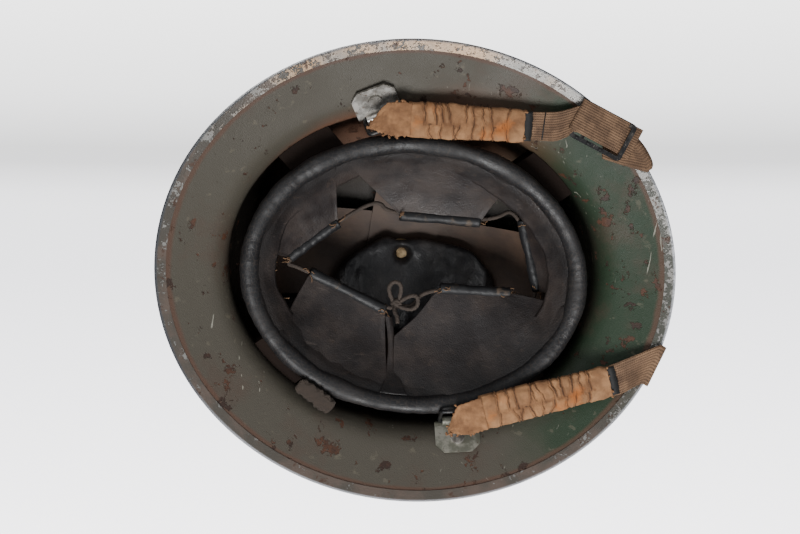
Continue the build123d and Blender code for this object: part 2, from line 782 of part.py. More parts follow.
# A gathered tube of cloth with a flap that covers the wire loop
def sleeve_solid(run, length):
    with BuildPart() as tube:
        loft(gather_faces(run, length), ruled=True)
        with BuildSketch(stand(run.offset(-sleeve_h / 2))):
            with BuildLine():
                Polyline(*flap_points, close=True)
            make_face()
        extrude(amount=flap_t)
        bore = Plane(origin=run.origin, x_dir=run.y_dir, z_dir=run.x_dir)
        with BuildSketch(stand(bore)):
            RectangleRounded(bore_w, bore_h, bore_h / 2 - sleeve_t)
        extrude(amount=length, mode=Mode.SUBTRACT)
    return tube.part


with BuildPart() as sleeve_upper:
    add(sleeve_solid(upper_run, upper_len))
sleeve_upper.part.label = "sleeve_upper"
export_step(sleeve_upper.part, "parts/sleeve_upper.step")

with BuildPart() as sleeve_lower:
    add(sleeve_solid(lower_run, lower_len))
sleeve_lower.part.label = "sleeve_lower"
export_step(sleeve_lower.part, "parts/sleeve_lower.step")

# Inside a sleeve: hook with its plate, two springs, and a plate at the far end
plate_at = 4.0
far_plate_at = 13.0
play = 0.2
hook_reach = 4.0


# A hook that lies in the plane from its plate inside the sleeve to the wire it goes round
def hook_solid(crossing, run):
    spot = run.to_local_coords(crossing)
    foot = run.origin + run.x_dir * (plate_at + plate_t / 2) + run.y_dir * spot.Y
    way = crossing - foot
    reach = way.length + hook_reach
    hook_plane = Plane(origin=foot, x_dir=way, z_dir=way.cross(run.y_dir))
    points = ((0, hook_half, 0), (reach, hook_half, 0), (reach, -hook_half, 0), (0, -hook_half, 0))
    with BuildPart() as hook:
        add(cord(points, hook_r, hook_half - hook_r / 4, stand(hook_plane)))
        plate = Plane(origin=run.origin + run.x_dir * plate_at, x_dir=run.y_dir, z_dir=run.x_dir)
        with BuildSketch(stand(plate)):
            RectangleRounded(bore_w - 2 * play - sleeve_t, bore_h - 2 * play, bore_h / 2 - sleeve_t)
        extrude(amount=plate_t)
    return hook.part


# One round coil of a given height
def coil_solid(tall):
    with BuildPart() as coil:
        with BuildLine() as line:
            Helix(spring_pitch, tall, spring_r - spring_wire_r)
        with BuildSketch(Plane(line.line ^ 0)):
            Circle(spring_wire_r)
        sweep(path=line.line, is_frenet=True)
    return coil.part


# Two coils side by side between the plates
def springs_solid(run, length):
    first = plate_at + plate_t + play / 2 + spring_wire_r
    last = length - far_plate_at - play / 2 - spring_wire_r
    with BuildPart() as pair:
        for side in (-1, 1):
            spot = run.origin + run.x_dir * first + run.y_dir * (side * spring_at)
            axis = stand(Plane(origin=spot, x_dir=run.y_dir, z_dir=run.x_dir))
            add(coil_solid(last - first).moved(axis.location))
    return pair.part


def far_plate_solid(run, length):
    with BuildPart() as plate:
        spot = Plane(origin=run.origin + run.x_dir * (length - far_plate_at), x_dir=run.y_dir, z_dir=run.x_dir)
        with BuildSketch(stand(spot)):
            RectangleRounded(bore_w - 2 * play - sleeve_t, bore_h - 2 * play, bore_h / 2 - sleeve_t)
        extrude(amount=plate_t)
    return plate.part


for name, solid in (
    ("hook_upper", hook_solid(cross_upper, upper_run)),
    ("hook_lower", hook_solid(cross_lower, lower_run)),
    ("springs_upper", springs_solid(upper_run, upper_len)),
    ("springs_lower", springs_solid(lower_run, lower_len)),
    ("plate_upper", far_plate_solid(upper_run, upper_len)),
    ("plate_lower", far_plate_solid(lower_run, lower_len)),
):
    solid.label = name
    export_step(solid, f"parts/{name}.step")


# A flat strap's cross-section: centre, width vector, face normal, thickness
def strap_face(centre, width, normal, thick):
    width = Vector(*width)
    normal = Vector(*normal)
    plane = Plane(origin=centre, x_dir=width, z_dir=width.cross(normal))
    with BuildSketch(stand(plane)) as face:
        Rectangle(width.length, thick)
    return face.sketch


def heading(turn, size=1.0):
    return Vector(size * cos(radians(turn)), size * sin(radians(turn)), 0)


# The buckle lies under the brim's edge, tilted so that its outer end hangs lower
buckle_centre = Vector(96.1, -98.3, -2.84)
buckle_turn = 20.3
buckle_drop = 4.8
buckle_way = heading(buckle_turn, cos(radians(buckle_drop))) - Vector(0, 0, 1) * sin(radians(buckle_drop))
buckle_plane = Plane(origin=buckle_centre, x_dir=buckle_way, z_dir=Vector(0, 0, 1) - buckle_way * buckle_way.Z)
buckle_corner = 3.0
with BuildPart() as buckle_frame:
    with BuildSketch(stand(buckle_plane)):
        RectangleRounded(buckle_l, buckle_w, buckle_corner)
        RectangleRounded(buckle_l - 2 * buckle_rim, buckle_w - 2 * buckle_rim, buckle_corner / 3, mode=Mode.SUBTRACT)
    extrude(amount=buckle_t / 2, both=True)
buckle_frame.part.label = "buckle_frame"
export_step(buckle_frame.part, "parts/buckle_frame.step")

# The toothed bar spans the frame and rides on its long sides with thin ends
grip_at = -8.8
grip_w = 2.0
grip_low = -0.6
grip_high = 0.8
grip_end_t = 0.5
tooth_l = 0.7
inner_w = buckle_w - 2 * buckle_rim
with BuildPart() as buckle_bar:
    with BuildSketch(stand(buckle_plane.offset(grip_low))):
        with Locations((grip_at, 0)):
            Rectangle(grip_w, inner_w - 2 * play)
        for k in range(tooth_n):
            with Locations((grip_at + grip_w / 2 + tooth_l / 2, (k - (tooth_n - 1) / 2) * grip_w)):
                Rectangle(tooth_l, grip_w / 2)
    extrude(amount=grip_high - grip_low)
    with BuildSketch(stand(buckle_plane.offset(grip_high))):
        for side in (-1, 1):
            with Locations((grip_at, side * inner_w / 2)):
                Rectangle(grip_w, buckle_rim - play)
    extrude(amount=grip_end_t)
buckle_bar.part.label = "buckle_bar"
export_step(buckle_bar.part, "parts/buckle_bar.step")

# The doubled end of webbing: looped round the toothed bar, out over the far side of the frame
end_w = 15.2
end_t = 1.4
end_slot_r = 1.0
end_loop = ((-9.5, 0.1), (-3.4, 0.0))
taper = (3.5, -1.6)
lane = ((-3.4, -1.6), (5, -1.6), (14.1, 1.5), (21.5, 1.6))
side_plane = Plane(origin=buckle_plane.origin, x_dir=buckle_plane.x_dir, z_dir=buckle_plane.y_dir * -1)
with BuildPart() as strap_end:
    with BuildSketch(stand(side_plane)):
        with Locations(*end_loop):
            Circle(end_slot_r + end_t)
        make_hull()
    extrude(amount=end_w / 2, both=True)
    with BuildSketch(stand(side_plane)):
        with Locations(end_loop[1]):
            Circle(end_slot_r + end_t)
        with Locations(taper):
            Circle(web_t / 2)
        make_hull()
    extrude(amount=end_w / 2, both=True)
    with BuildSketch(stand(side_plane)):
        with BuildLine():
            Polyline(*[(u, v - web_t / 2) for u, v in lane], *[(u, v + web_t / 2) for u, v in reversed(lane)], close=True)
        make_face()
    extrude(amount=end_w / 2, both=True)
    with BuildSketch(stand(side_plane)):
        with Locations(*end_loop):
            Circle(end_slot_r)
        make_hull()
    extrude(amount=end_w, both=True, mode=Mode.SUBTRACT)
strap_end.part.label = "strap_end"
export_step(strap_end.part, "parts/strap_end.step")

# The doubled tab from the upper sleeve, looped round the frame's near side
tab_t = 2.5
tab_w = 16.6
tab_loop_r = 1.7
tab_wall = 1.2
tab_join = 0.7
tab_mid_places = ((58, -95.9, 1.9), (69, -97.6, 1.2))
tab_bar = buckle_plane.origin - buckle_plane.x_dir * (buckle_l / 2 - buckle_rim / 2)
with BuildPart() as buckle_tab:
    way = upper_run.x_dir
    first = upper_run.origin + way * (upper_len - far_plate_at + plate_t + play)
    side = upper_run.y_dir
    skew = buckle_plane.y_dir
    mid = (side * 2 + skew).normalized()
    join = tab_bar - buckle_plane.x_dir * (tab_loop_r + tab_join)
    loft([
        strap_face(first, side * (tab_w - 1), (0, 0, 1), tab_t),
        strap_face(tab_mid_places[0], side * tab_w, (0, 0, 1), tab_t),
        strap_face(tab_mid_places[1], mid * tab_w, (0, 0, 1), tab_t),
        strap_face(join, skew * tab_w, buckle_plane.z_dir, tab_t),
    ], ruled=True)
    tab_axis = Plane(origin=tab_bar, x_dir=buckle_plane.x_dir, z_dir=buckle_plane.y_dir)
    with BuildSketch(stand(tab_axis)):
        Circle(tab_loop_r + tab_wall)
    extrude(amount=tab_w / 2, both=True)
    with BuildSketch(stand(tab_axis)):
        Circle(tab_loop_r)
    extrude(amount=tab_w, both=True, mode=Mode.SUBTRACT)
buckle_tab.part.label = "buckle_tab"
export_step(buckle_tab.part, "parts/buckle_tab.step")

# The long webbing: from the buckle round the edge, over the brim, round again to the lower sleeve
over = half_long + edge_out
over_wide = half_wide + edge_out
reach_out = strap_gap + web_t / 2


def edge_place(turn, out, rise):
    spot = Vector(over * cos(radians(turn)), over_wide * sin(radians(turn)), 0)
    normal = Vector(spot.X / over ** 2, spot.Y / over_wide ** 2, 0).normalized()
    return spot + normal * out + Vector(0, 0, rise), normal


def top_place(turn, inset):
    rise = edge_h + inset * sin(radians(brim_slope)) / cos(radians(brim_slope))
    spot = Vector((half_long - inset) * cos(radians(turn)), (half_wide - inset) * sin(radians(turn)), rise)
    normal = Vector(spot.X / (half_long - inset) ** 2, spot.Y / (half_wide - inset) ** 2, 0).normalized()
    up = normal * sin(radians(brim_slope)) + Vector(0, 0, 1) * cos(radians(brim_slope))
    return spot + up * brim_lift, up


# The turn round the edge: steps out and up, with the face's lean from straight down
edge_steps = ((-3.0, -reach_out, 0), (-0.3, -reach_out, 16), (0.98, 0.35, 68), (1.1, 2.4, 115))
edge_wide = (25, 26)
web_start = (98, -91.2, 0.2)
web_start_turn = 84
web_last = 4.0
upper_turn = -39.7
lower_turn = 16.1


def edge_faces(turn, wide, flip):
    faces = []
    for out, rise, lean in edge_steps:
        spot, normal = edge_place(turn, out, rise)
        tangent = Vector(-normal.Y, normal.X, 0) * flip
        face_way = normal * sin(radians(lean)) - Vector(0, 0, 1) * cos(radians(lean))
        faces.append(strap_face(spot, tangent * wide, face_way, web_t))
    return faces


top_steps = ((-39.4, 2.4, 46.4, 25), (-34.5, 8, 12, 21), (-27, 13, -8, web_w), (-17, 15, -14, web_w), (-7, 15, -16, web_w),
             (2, 13.5, -20, web_w), (9.5, 9.0, -34, 20.5), (15.6, 2.4, -71.3, 26))
with BuildPart() as strap_webbing:
    faces = [strap_face(web_start, heading(web_start_turn, web_w), (0, 0, -1), web_t)]
    faces += edge_faces(upper_turn, edge_wide[0], 1)
    for turn, inset, width_turn, wide in top_steps:
        spot, up = top_place(turn, inset)
        width = heading(width_turn)
        width = (width - up * width.dot(up)).normalized() * wide
        faces.append(strap_face(spot, width, up, web_t))
    faces += reversed(edge_faces(lower_turn, edge_wide[1], -1))
    run_side = lower_run.y_dir * -1
    last = lower_run.origin + lower_run.x_dir * (lower_len - far_plate_at + plate_t + play)
    faces.append(strap_face(lower_end + lower_run.x_dir * web_last, run_side * web_w, (0, 0, -1), web_t))
    faces.append(strap_face(last, run_side * (tab_w - 1), (0, 0, -1), web_t))
    loft(faces, ruled=True)
strap_webbing.part.label = "strap_webbing"
export_step(strap_webbing.part, "parts/strap_webbing.step")
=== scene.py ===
import math
import random

import bmesh
import bpy
from mathutils import Matrix, Vector, noise


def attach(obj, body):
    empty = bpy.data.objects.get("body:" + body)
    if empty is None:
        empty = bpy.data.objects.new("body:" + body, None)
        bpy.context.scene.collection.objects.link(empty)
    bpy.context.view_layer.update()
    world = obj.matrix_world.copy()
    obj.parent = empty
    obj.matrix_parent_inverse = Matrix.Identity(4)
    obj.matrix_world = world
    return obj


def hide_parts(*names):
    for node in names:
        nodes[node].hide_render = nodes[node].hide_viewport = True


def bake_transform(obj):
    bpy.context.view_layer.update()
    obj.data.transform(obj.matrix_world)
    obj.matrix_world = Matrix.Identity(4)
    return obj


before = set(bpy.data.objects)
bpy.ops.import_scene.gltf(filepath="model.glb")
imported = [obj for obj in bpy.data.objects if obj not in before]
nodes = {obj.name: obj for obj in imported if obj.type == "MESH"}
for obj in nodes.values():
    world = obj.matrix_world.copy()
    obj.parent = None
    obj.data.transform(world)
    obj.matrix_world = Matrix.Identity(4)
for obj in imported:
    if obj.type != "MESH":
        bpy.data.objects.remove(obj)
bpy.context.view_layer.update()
scene = bpy.context.scene

# Stand: the helmet rests on its rim band and on the buckled webbing, so it is tipped by about a degree.
# Places below are millimetres in the helmet's own measure, from the rim's centre, and at() sets them down.
TIP_ACROSS = math.radians(-0.846)
TIP_ALONG = math.radians(-0.785)
SEAT = (Matrix.Translation((0.02, -0.022, 2.942)) @ Matrix.Rotation(TIP_ACROSS, 4, "X")
        @ Matrix.Rotation(TIP_ALONG, 4, "Y"))


def at(x, y=None, z=None):
    return (SEAT @ Vector(x if y is None else (x, y, z))) / 1000


# Camera: under the helmet and looking up into it, about a metre off, with a long lens.
# Its three directions and its place were fitted to the rim, the liner ring and the two lugs.
right = Vector((0.98614, -0.13504, -0.09642))
above = Vector((-0.11932, -0.98094, 0.15348))
ahead = Vector((0.11531, 0.13984, 0.98341))
camera = bpy.data.objects.new("camera", bpy.data.cameras.new("camera"))
camera.data.lens = 85
camera.data.sensor_width = 36
camera.data.clip_start = 0.05
camera.matrix_world = Matrix((
    (right.x, above.x, -ahead.x, -0.14075),
    (right.y, above.y, -ahead.y, -0.15921),
    (right.z, above.z, -ahead.z, -1.09437),
    (0, 0, 0, 1),
))
scene.collection.objects.link(camera)
scene.camera = camera


# Lights: a broad soft one low in the picture and near the camera, with weaker ones at the picture's top,
# and two over the crown for the views from above. All are square panels that face the helmet.
def lamp(name, place, target_height, size, power):
    light = bpy.data.objects.new(name, bpy.data.lights.new(name, "AREA"))
    light.data.size = size
    light.data.energy = power
    light.location = place
    light.rotation_mode = "QUATERNION"
    toward = Vector((0, 0, target_height)) - Vector(place)
    light.rotation_quaternion = toward.to_track_quat("-Z", "Y")
    scene.collection.objects.link(light)


lamp("key_below", (0.0, 0.75, -1.05), 0.02, 0.6, 24)
lamp("side_below", (-0.75, -0.6, -0.8), 0.02, 0.6, 3)
lamp("fill_below", (0.8, -0.5, -0.9), 0.02, 0.8, 1.5)
lamp("key_above", (-0.6, -0.9, 1.3), 0.05, 0.8, 22)
lamp("fill_above", (1.0, 0.7, 1.0), 0.05, 1.0, 10)


# Backdrop: a white cloth below a pale grey wall, painted as a gradient up the picture.
# The camera sees it at full strength, and the helmet gets only a faint glow from it.
class Val:
    def __init__(self, tree, socket):
        self.tree = tree
        self.socket = socket

    def maths(self, kind, *values):
        return wire(self.tree, "Math", dict(enumerate(values)), operation=kind)

    def __add__(self, other):
        return self.maths("ADD", self, other)

    def __sub__(self, other):
        return self.maths("SUBTRACT", self, other)

    def __rsub__(self, other):
        return self.maths("SUBTRACT", other, self)

    def __mul__(self, other):
        return self.maths("MULTIPLY", self, other)

    def __pow__(self, power):
        return self.maths("POWER", self, power)

    __radd__ = __add__
    __rmul__ = __mul__

    def root(self):
        return self.maths("SQRT", self)

    def sine(self):
        return self.maths("SINE", self)

    def band(self, low, high):
        ends = {"Value": self, "From Min": low, "From Max": high}
        return wire(self.tree, "MapRange", ends, interpolation_type="SMOOTHSTEP")


def feed(tree, value, slot):
    if isinstance(value, Val):
        tree.links.new(value.socket, slot)
    elif slot.type == "RGBA":
        slot.default_value = (*value, 1)
    else:
        slot.default_value = value


def wire(tree, kind, sockets=None, out=0, stops=(), **settings):
    made = tree.nodes.new("ShaderNode" + kind)
    for key, value in settings.items():
        setattr(made, key, value)
    for place, colour in stops:
        made.color_ramp.elements.new(place).color = (*colour, 1)
    if stops:
        made.color_ramp.elements.remove(made.color_ramp.elements[0])
    for key, value in (sockets or {}).items():
        feed(tree, value, made.inputs[key])
    return Val(tree, made.outputs[out]) if len(made.outputs) else None


world = bpy.data.worlds.new("backdrop")
scene.world = world
world.use_nodes = True
tree = world.node_tree
tree.nodes.clear()
looking = wire(tree, "TexCoord", out="Generated")
rise = wire(tree, "VectorMath", {0: looking, 1: above}, "Value", operation="DOT_PRODUCT")
cloth_to_wall = wire(tree, "ValToRGB", {0: rise * 0.5 + 0.5}, stops=(
    (0.43, (0.98, 0.97, 1.0)), (0.50, (0.64, 0.64, 0.67)), (0.518, (0.62, 0.62, 0.64)),
    (0.529, (0.36, 0.36, 0.365)), (0.545, (0.6, 0.6, 0.605)), (0.57, (0.8, 0.8, 0.8))))
seen = wire(tree, "Background", {"Color": cloth_to_wall, "Strength": 4.2})
glow = wire(tree, "Background", {"Color": (0.92, 0.95, 1.0), "Strength": 0.3})
by_camera = wire(tree, "LightPath", out="Is Camera Ray")
wire(tree, "OutputWorld", {0: wire(tree, "MixShader", {0: by_camera, 1: glow, 2: seen})})


# Shell: one bowl of hard steel, pressed from a flat disc, that carries every other piece.
# Its sandy olive paint is browner at the left and up the wall, dark green at the right, and chipped to rust.
# Deep inside the bowl it carries painted shade.
class Paint:
    def __init__(self, name, source="Object"):
        self.material = bpy.data.materials.new(name)
        self.material.use_nodes = True
        self.tree = self.material.node_tree
        self.shader = self.tree.nodes["Principled BSDF"]
        self.where = wire(self.tree, "TexCoord", out=source)

    def spread(self, stretch):
        if stretch is None:
            return self.where
        return wire(self.tree, "Mapping", {"Vector": self.where, "Scale": stretch})

    def noise(self, scale, detail=4.0, rough=0.55, stretch=None, warp=0.0):
        return wire(self.tree, "TexNoise", {"Vector": self.spread(stretch), "Scale": scale, "Detail": detail,
                                            "Roughness": rough, "Distortion": warp})

    def cells(self, scale, feature="DISTANCE_TO_EDGE", stretch=None):
        return wire(self.tree, "TexVoronoi", {"Vector": self.spread(stretch), "Scale": scale}, "Distance",
                    feature=feature)

    def part(self, axis):
        return wire(self.tree, "SeparateXYZ", {0: self.where}, axis)

    def facing(self):
        outward = wire(self.tree, "NewGeometry", out="Normal")
        return wire(self.tree, "VectorMath", {0: outward, 1: self.where}, "Value", operation="DOT_PRODUCT")

    def oval(self, half_long, half_wide):
        return ((self.part(0) * (1 / half_long)) ** 2 + (self.part(1) * (1 / half_wide)) ** 2).root()

    def mix(self, share, first, second):
        return wire(self.tree, "Mix", {0: share, 6: first, 7: second}, 2, data_type="RGBA")

    def set(self, colour, bump=None, reach=0.0003, **values):
        feed(self.tree, colour, self.shader.inputs["Base Color"])
        for key, value in values.items():
            feed(self.tree, value, self.shader.inputs[key.replace("_", " ")])
        if bump is not None:
            lifted = wire(self.tree, "Bump", {"Strength": 1, "Distance": reach, "Height": bump})
            feed(self.tree, lifted, self.shader.inputs["Normal"])
        return self.material


def dress(node, material):
    obj = nodes[node]
    obj.data.materials.clear()
    obj.data.materials.append(material)


p = Paint("shell_paint")
x, y, z = p.part(0), p.part(1), p.part(2)
broad = p.noise(9, 5)
fine = p.noise(60, 6, 0.6)
inside = p.facing().band(0.01, -0.01)
sandy, dark_green, brown = (0.064, 0.057, 0.044), (0.021, 0.037, 0.020), (0.068, 0.043, 0.031)
red_brown, painted_shade_dark, pale_dust = (0.16, 0.080, 0.050), (0.010, 0.007, 0.006), (0.16, 0.14, 0.10)
green = (x * 7.0 + broad * 1.2 - y * 1.2).band(0.95, 1.35)
colour = p.mix(green, sandy, dark_green)
colour = p.mix(p.noise(22, 6, 0.65).band(0.5, 0.72) * 0.55, colour, brown)
wall = (z + broad * 0.016 + x * 0.06).band(0.022, 0.036) * inside
colour = p.mix(wall * y.band(-0.03, -0.08) * x.band(0.09, 0.03) * 0.9, colour, red_brown)
# Painted shade: high up the inner wall the paint goes near black, except at the picture's top.
deep = (z + broad * 0.02).band(0.03, 0.05) * inside
colour = p.mix(deep * y.band(-0.09, -0.03) * 0.85, colour, painted_shade_dark)
colour = p.mix(p.noise(140, 5, 0.6).band(0.62, 0.7) * 0.3, colour, pale_dust)
edge = p.oval(0.155352, 0.137855) + fine * 0.02
colour = p.mix(edge.band(0.945, 0.96) * 0.75, colour, (0.085, 0.043, 0.028))
chip = (p.noise(85, 8, 0.68) * 0.75 + p.noise(24, 3) * 0.25).band(0.585, 0.6)
rust = p.mix(fine.band(0.4, 0.6), (0.032, 0.019, 0.014), (0.075, 0.034, 0.02))
colour = p.mix(chip, colour, rust)
scratch = p.noise(240, 2, 0.5, (1, 0.12, 1), 1.5).band(0.7, 0.74) * broad.band(0.5, 0.6)
colour = p.mix(scratch * 0.7, colour, (0.3, 0.29, 0.24))
sand_grain = p.noise(1500, 3, 0.6) * 0.6 + fine * 0.6 - chip * 0.5
dress("shell", p.set(colour, sand_grain, 0.00035, Specular_IOR_Level=0.27,
                     Roughness=p.noise(30, 4).band(0.2, 0.8) * 0.2 + 0.42))

# Rim band: a strip of softer steel, folded round the raw edge of the brim and pressed flat.
# Its paint is the shell's, worn off to bright metal in patches and rusty at the top left of the picture. Its
# folded outer edge has a painted highlight.
p = Paint("band_paint")
x, y = p.part(0), p.part(1)
bare = (p.noise(150, 8, 0.68) * 0.75 + p.noise(600, 4, 0.7) * 0.25 + x * 0.15 - y * 0.6).band(0.525, 0.545)
rim = p.oval(0.156006, 0.138504).band(0.985, 0.994)
tan = (p.noise(30, 4) * 0.6 - x * 0.8 - y * 3.4).band(0.62, 0.85)
coat = p.mix(p.noise(50, 5).band(0.42, 0.62), (0.060, 0.052, 0.042), (0.095, 0.07, 0.055))
coat = p.mix((x * 6 - y * 2 + p.noise(60, 4)).band(1.0, 1.5) * 0.6, coat, (0.045, 0.055, 0.04))
metal = p.mix(tan, p.mix(p.noise(90, 5), (0.15, 0.145, 0.135), (0.30, 0.29, 0.27)), (0.38, 0.25, 0.15))
colour = p.mix(bare, coat, metal)
colour = p.mix(p.noise(120, 6, 0.7).band(0.6, 0.64), colour, (0.06, 0.032, 0.02))
# Painted highlight: the folded outer edge is pale blue-grey at the picture's lower right and dark blue-grey
# elsewhere.
fold_painted_highlight = p.mix((x + y * 1.6).band(-0.02, 0.1), (0.045, 0.052, 0.062), (0.5, 0.51, 0.54))
colour = p.mix(rim * 0.8, colour, fold_painted_highlight)
dress("rim_band", p.set(colour, p.noise(900, 3) * 0.5 - bare * 0.6, 0.0003, Metallic=bare * 0.35,
                        Roughness=p.noise(150, 4) * 0.3 + 0.3))


# Metal fittings: lugs, loops, hooks, springs and buckle are bent or stamped from sheet and wire.
# Steel is plated, blackened or painted olive, the crown fixings and liner rivets are dull brass, and all
# are worn at the edges.
def steel(name, low, high, metallic, rough, spot):
    p = Paint(name)
    wear = p.noise(170, 7, 0.65)
    colour = p.mix(wear.band(0.42, 0.6), low, high)
    colour = p.mix(p.noise(420, 5, 0.7).band(0.6, 0.66) * 0.8, colour, spot)
    return p.set(colour, wear * 0.6 + p.noise(1400, 3) * 0.3, 0.0001, Metallic=metallic,
                 Roughness=p.noise(260, 4) * 0.3 + rough)


plated = steel("plated_steel", (0.26, 0.245, 0.22), (0.58, 0.555, 0.51), 0.7, 0.14, (0.12, 0.06, 0.03))
dark = steel("dark_steel", (0.016, 0.016, 0.017), (0.045, 0.042, 0.04), 0.6, 0.28, (0.16, 0.14, 0.12))
olive = steel("olive_steel", (0.13, 0.13, 0.10), (0.26, 0.25, 0.21), 0.35, 0.36, (0.07, 0.04, 0.025))
brass = steel("old_brass", (0.24, 0.16, 0.08), (0.46, 0.34, 0.19), 0.6, 0.3, (0.10, 0.06, 0.03))
for name in ("lug_upper", "lug_rivets"):
    dress(name, plated)
dress("lug_lower", olive)
for name in ("loop_upper", "loop_lower", "hook_upper", "hook_lower", "springs_upper", "springs_lower",
             "plate_upper", "plate_lower", "buckle_frame", "buckle_bar"):
    dress(name, dark)
for name in ("crown_nut", "crown_bolt", "crown_washer", "liner_rivets"):
    dress(name, brass)

# Liner bars: two strips of pressed brown fibre that cross under the crown and carry the headband.
# The grain runs along them and shows as darker streaks.
p = Paint("fibre")
grain = p.noise(180, 6, 0.6, (0.25, 1, 1))
colour = p.mix(p.noise(25, 5).band(0.35, 0.65), (0.040, 0.023, 0.015), (0.085, 0.050, 0.031))
colour = p.mix(grain.band(0.4, 0.7) * 0.4, colour, (0.035, 0.022, 0.016))
fibre = p.set(colour, grain, 0.0003, Roughness=0.62)
dress("long_bar", fibre)
dress("cross_bar", fibre)

# Buffers and crown spacer: moulded black rubber that keeps the liner off the steel.
# It has aged to a dull dark brown and hardly shines.
p = Paint("rubber")
colour = p.mix(p.noise(60, 5), (0.009, 0.006, 0.005), (0.018, 0.011, 0.008))
rubber = p.set(colour, p.noise(500, 4), 0.0003, Roughness=0.9, Specular_IOR_Level=0.15)
dress("buffers", rubber)
dress("crown_spacer", rubber)

# Ring: a padded roll under the headband, inside one cover of black oilcloth, crazed and glossy.
# The cloth goes round the roll and up both faces of the headband, and is drawn into small gathers.
ROLL = (101.0, 80.0)
ROLL_Y = 3.3
ROLL_Z = 17.5
ROLL_TOP = 24
RING_STEPS = 620
COVER = ((0.75, 49.9), (0.8, 36), (0.9, 26.5), (1.8, 22.8), (3.6, 21.0), (4.4, 17.6), (3.2, 14.0), (0, 12.3),
         (-4.4, 13.7), (-6.6, 17.5), (-5.6, 21.8), (-2.6, 24.6), (-1.0, 28), (-0.85, 38), (-0.8, 49.9))


# Points along a smooth line through the given ones.
def smooth(points, count):
    out = []
    last = len(points) - 1
    for k in range(count):
        t = k / (count - 1) * last
        i = min(int(t), last - 1)
        f = t - i
        a, b, c, d = (points[max(0, min(last, i + j))] for j in (-1, 0, 1, 2))
        out.append(0.5 * (2 * b + (c - a) * f + (2 * a - 5 * b + 4 * c - d) * f * f
                          + (3 * b - a - 3 * c + d) * f ** 3))
    return out


# A mesh from rows of points, with UVs in metres along the rows (u) and across them (v).
def surface(name, rows, material, tube=False, ring=False):
    bm = bmesh.new()
    layer = bm.loops.layers.uv.new("UVMap")
    count = len(rows[0])
    middle = count // 2
    along = [0.0]
    for first, second in zip(rows, rows[1:] + rows[:1]):
        along.append(along[-1] + (second[middle] - first[middle]).length)
    across = [0.0]
    widest = rows[len(rows) // 2]
    for j in range(count):
        across.append(across[-1] + (widest[(j + 1) % count] - widest[j]).length)
    verts = [[bm.verts.new(point) for point in row] for row in rows]
    for i in range(len(rows) if ring else len(rows) - 1):
        for j in range(count if tube else count - 1):
            k, m = (i + 1) % len(rows), (j + 1) % count
            face = bm.faces.new((verts[i][j], verts[i][m], verts[k][m], verts[k][j]))
            face.smooth = True
            for loop, (row, column) in zip(face.loops, ((i, j), (i, j + 1), (i + 1, j + 1), (i + 1, j))):
                loop[layer].uv = (along[row], across[column])
    mesh = bpy.data.meshes.new(name)
    bm.to_mesh(mesh)
    bm.free()
    mesh.materials.append(material)
    obj = bpy.data.objects.new(name, mesh)
    scene.collection.objects.link(obj)
    return obj


def ring_spot(turn, inset=0.0):
    return Vector(((ROLL[0] - inset) * math.cos(turn), ROLL_Y + (ROLL[1] - inset) * math.sin(turn), 0))


def ring_way(turn):
    return Vector((math.cos(turn) / ROLL[0], math.sin(turn) / ROLL[1], 0)).normalized()


p = Paint("oilcloth")
crack = p.cells(420, stretch=(1, 1, 0.6)).band(0.0, 0.09)
crease = p.noise(110, 6, 0.6, warp=0.6)
colour = p.mix(p.noise(34, 6, 0.6).band(0.5, 0.72) * 0.5, (0.010, 0.010, 0.011), (0.028, 0.025, 0.024))
colour = p.mix(crack, (0.03, 0.024, 0.021), colour)
oilcloth = p.set(colour, crack * 0.12 + crease * 0.8, 0.0004, Specular_IOR_Level=0.4,
                 Roughness=p.noise(48, 5).band(0.3, 0.7) * 0.25 + 0.4)
profile = smooth([Vector((out, high, 0)) for out, high in COVER], 46)
rows = []
for i in range(RING_STEPS):
    turn = 2 * math.pi * i / RING_STEPS
    spot = ring_spot(turn)
    row = []
    for out, high, _ in profile:
        slack = 1 if high < ROLL_TOP else 0.35
        wave = noise.noise(spot * 0.055 + Vector((0, 0, high * 0.03))) * 0.9
        gather = abs(noise.noise(Vector((spot.x * 0.16, spot.y * 0.16, high * 0.1)))) * 0.7
        push = slack * (wave - gather + 0.2)
        middle = Vector((0, ROLL_Z if high < ROLL_TOP - 1 else high))
        lean = Vector((out, high)) - middle
        lean = lean.normalized() if lean.length > 0.01 else Vector((1, 0))
        row.append(at(spot + ring_way(turn) * (out + lean.x * push) + Vector((0, 0, high + lean.y * push))))
    rows.append(row)
ring = surface("liner_cover", rows, oilcloth, tube=True, ring=True)
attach(ring, "helmet")
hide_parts("rolled_edge", "headband")

# Tongues: six fans of thin leather, sewn to the ring, bellied and creased; five have their end rolled over
# the lace as a hem. The leather is brown-grey, black towards the ring, and scuffed; the hems are glossier.
HEM_H = 52.0
FOOT_Z = 17.5
FOOT_IN = 5.95
TURN_IN = 1.5
FAN_UP = 34
FAN_WIDE = 72
HEM_ENDS = {
    "tongue_rear_left": ((-60.3, 13.2), (-11.0, 31.3)),
    "tongue_rear_right": ((21.3, 13.6), (65.5, 11.5)),
    "tongue_front": ((82.2, 7.7), (66.4, -34.8)),
    "tongue_far": ((40.4, -30.3), (-9.7, -28.6)),
    "tongue_left": ((-47.1, -19.6), (-73.9, 5.6)),
}
# For each tongue: the turns of its ribs, its swell, and its free corners as turn, x, y and height.
FANS = {
    "tongue_rear_left": ((144, 131, 118, 106, 94), 0.05, ()),
    "tongue_rear_right": ((70, 54, 38, 22, 6), 0.05, ((92, -4.5, 45, 43.5), (81, 8.5, 31.5, 47.5))),
    "tongue_front": ((3, -11, -25, -39, -53), 0.02, ()),
    "tongue_far": ((-57, -72, -89, -106, -122), 0.05, ()),
    "tongue_left": ((-126, -140, -154, -167, -178), 0.02, ()),
    "tongue_torn": ((), 0.0, ((180, -86.5, 4.5, 36.0), (171, -84.5, 11.0, 42.0), (163, -83.0, 20.0, 40.0),
                              (155, -80.0, 28.0, 44.0), (148, -75.0, 33.0, 39.0))),
}


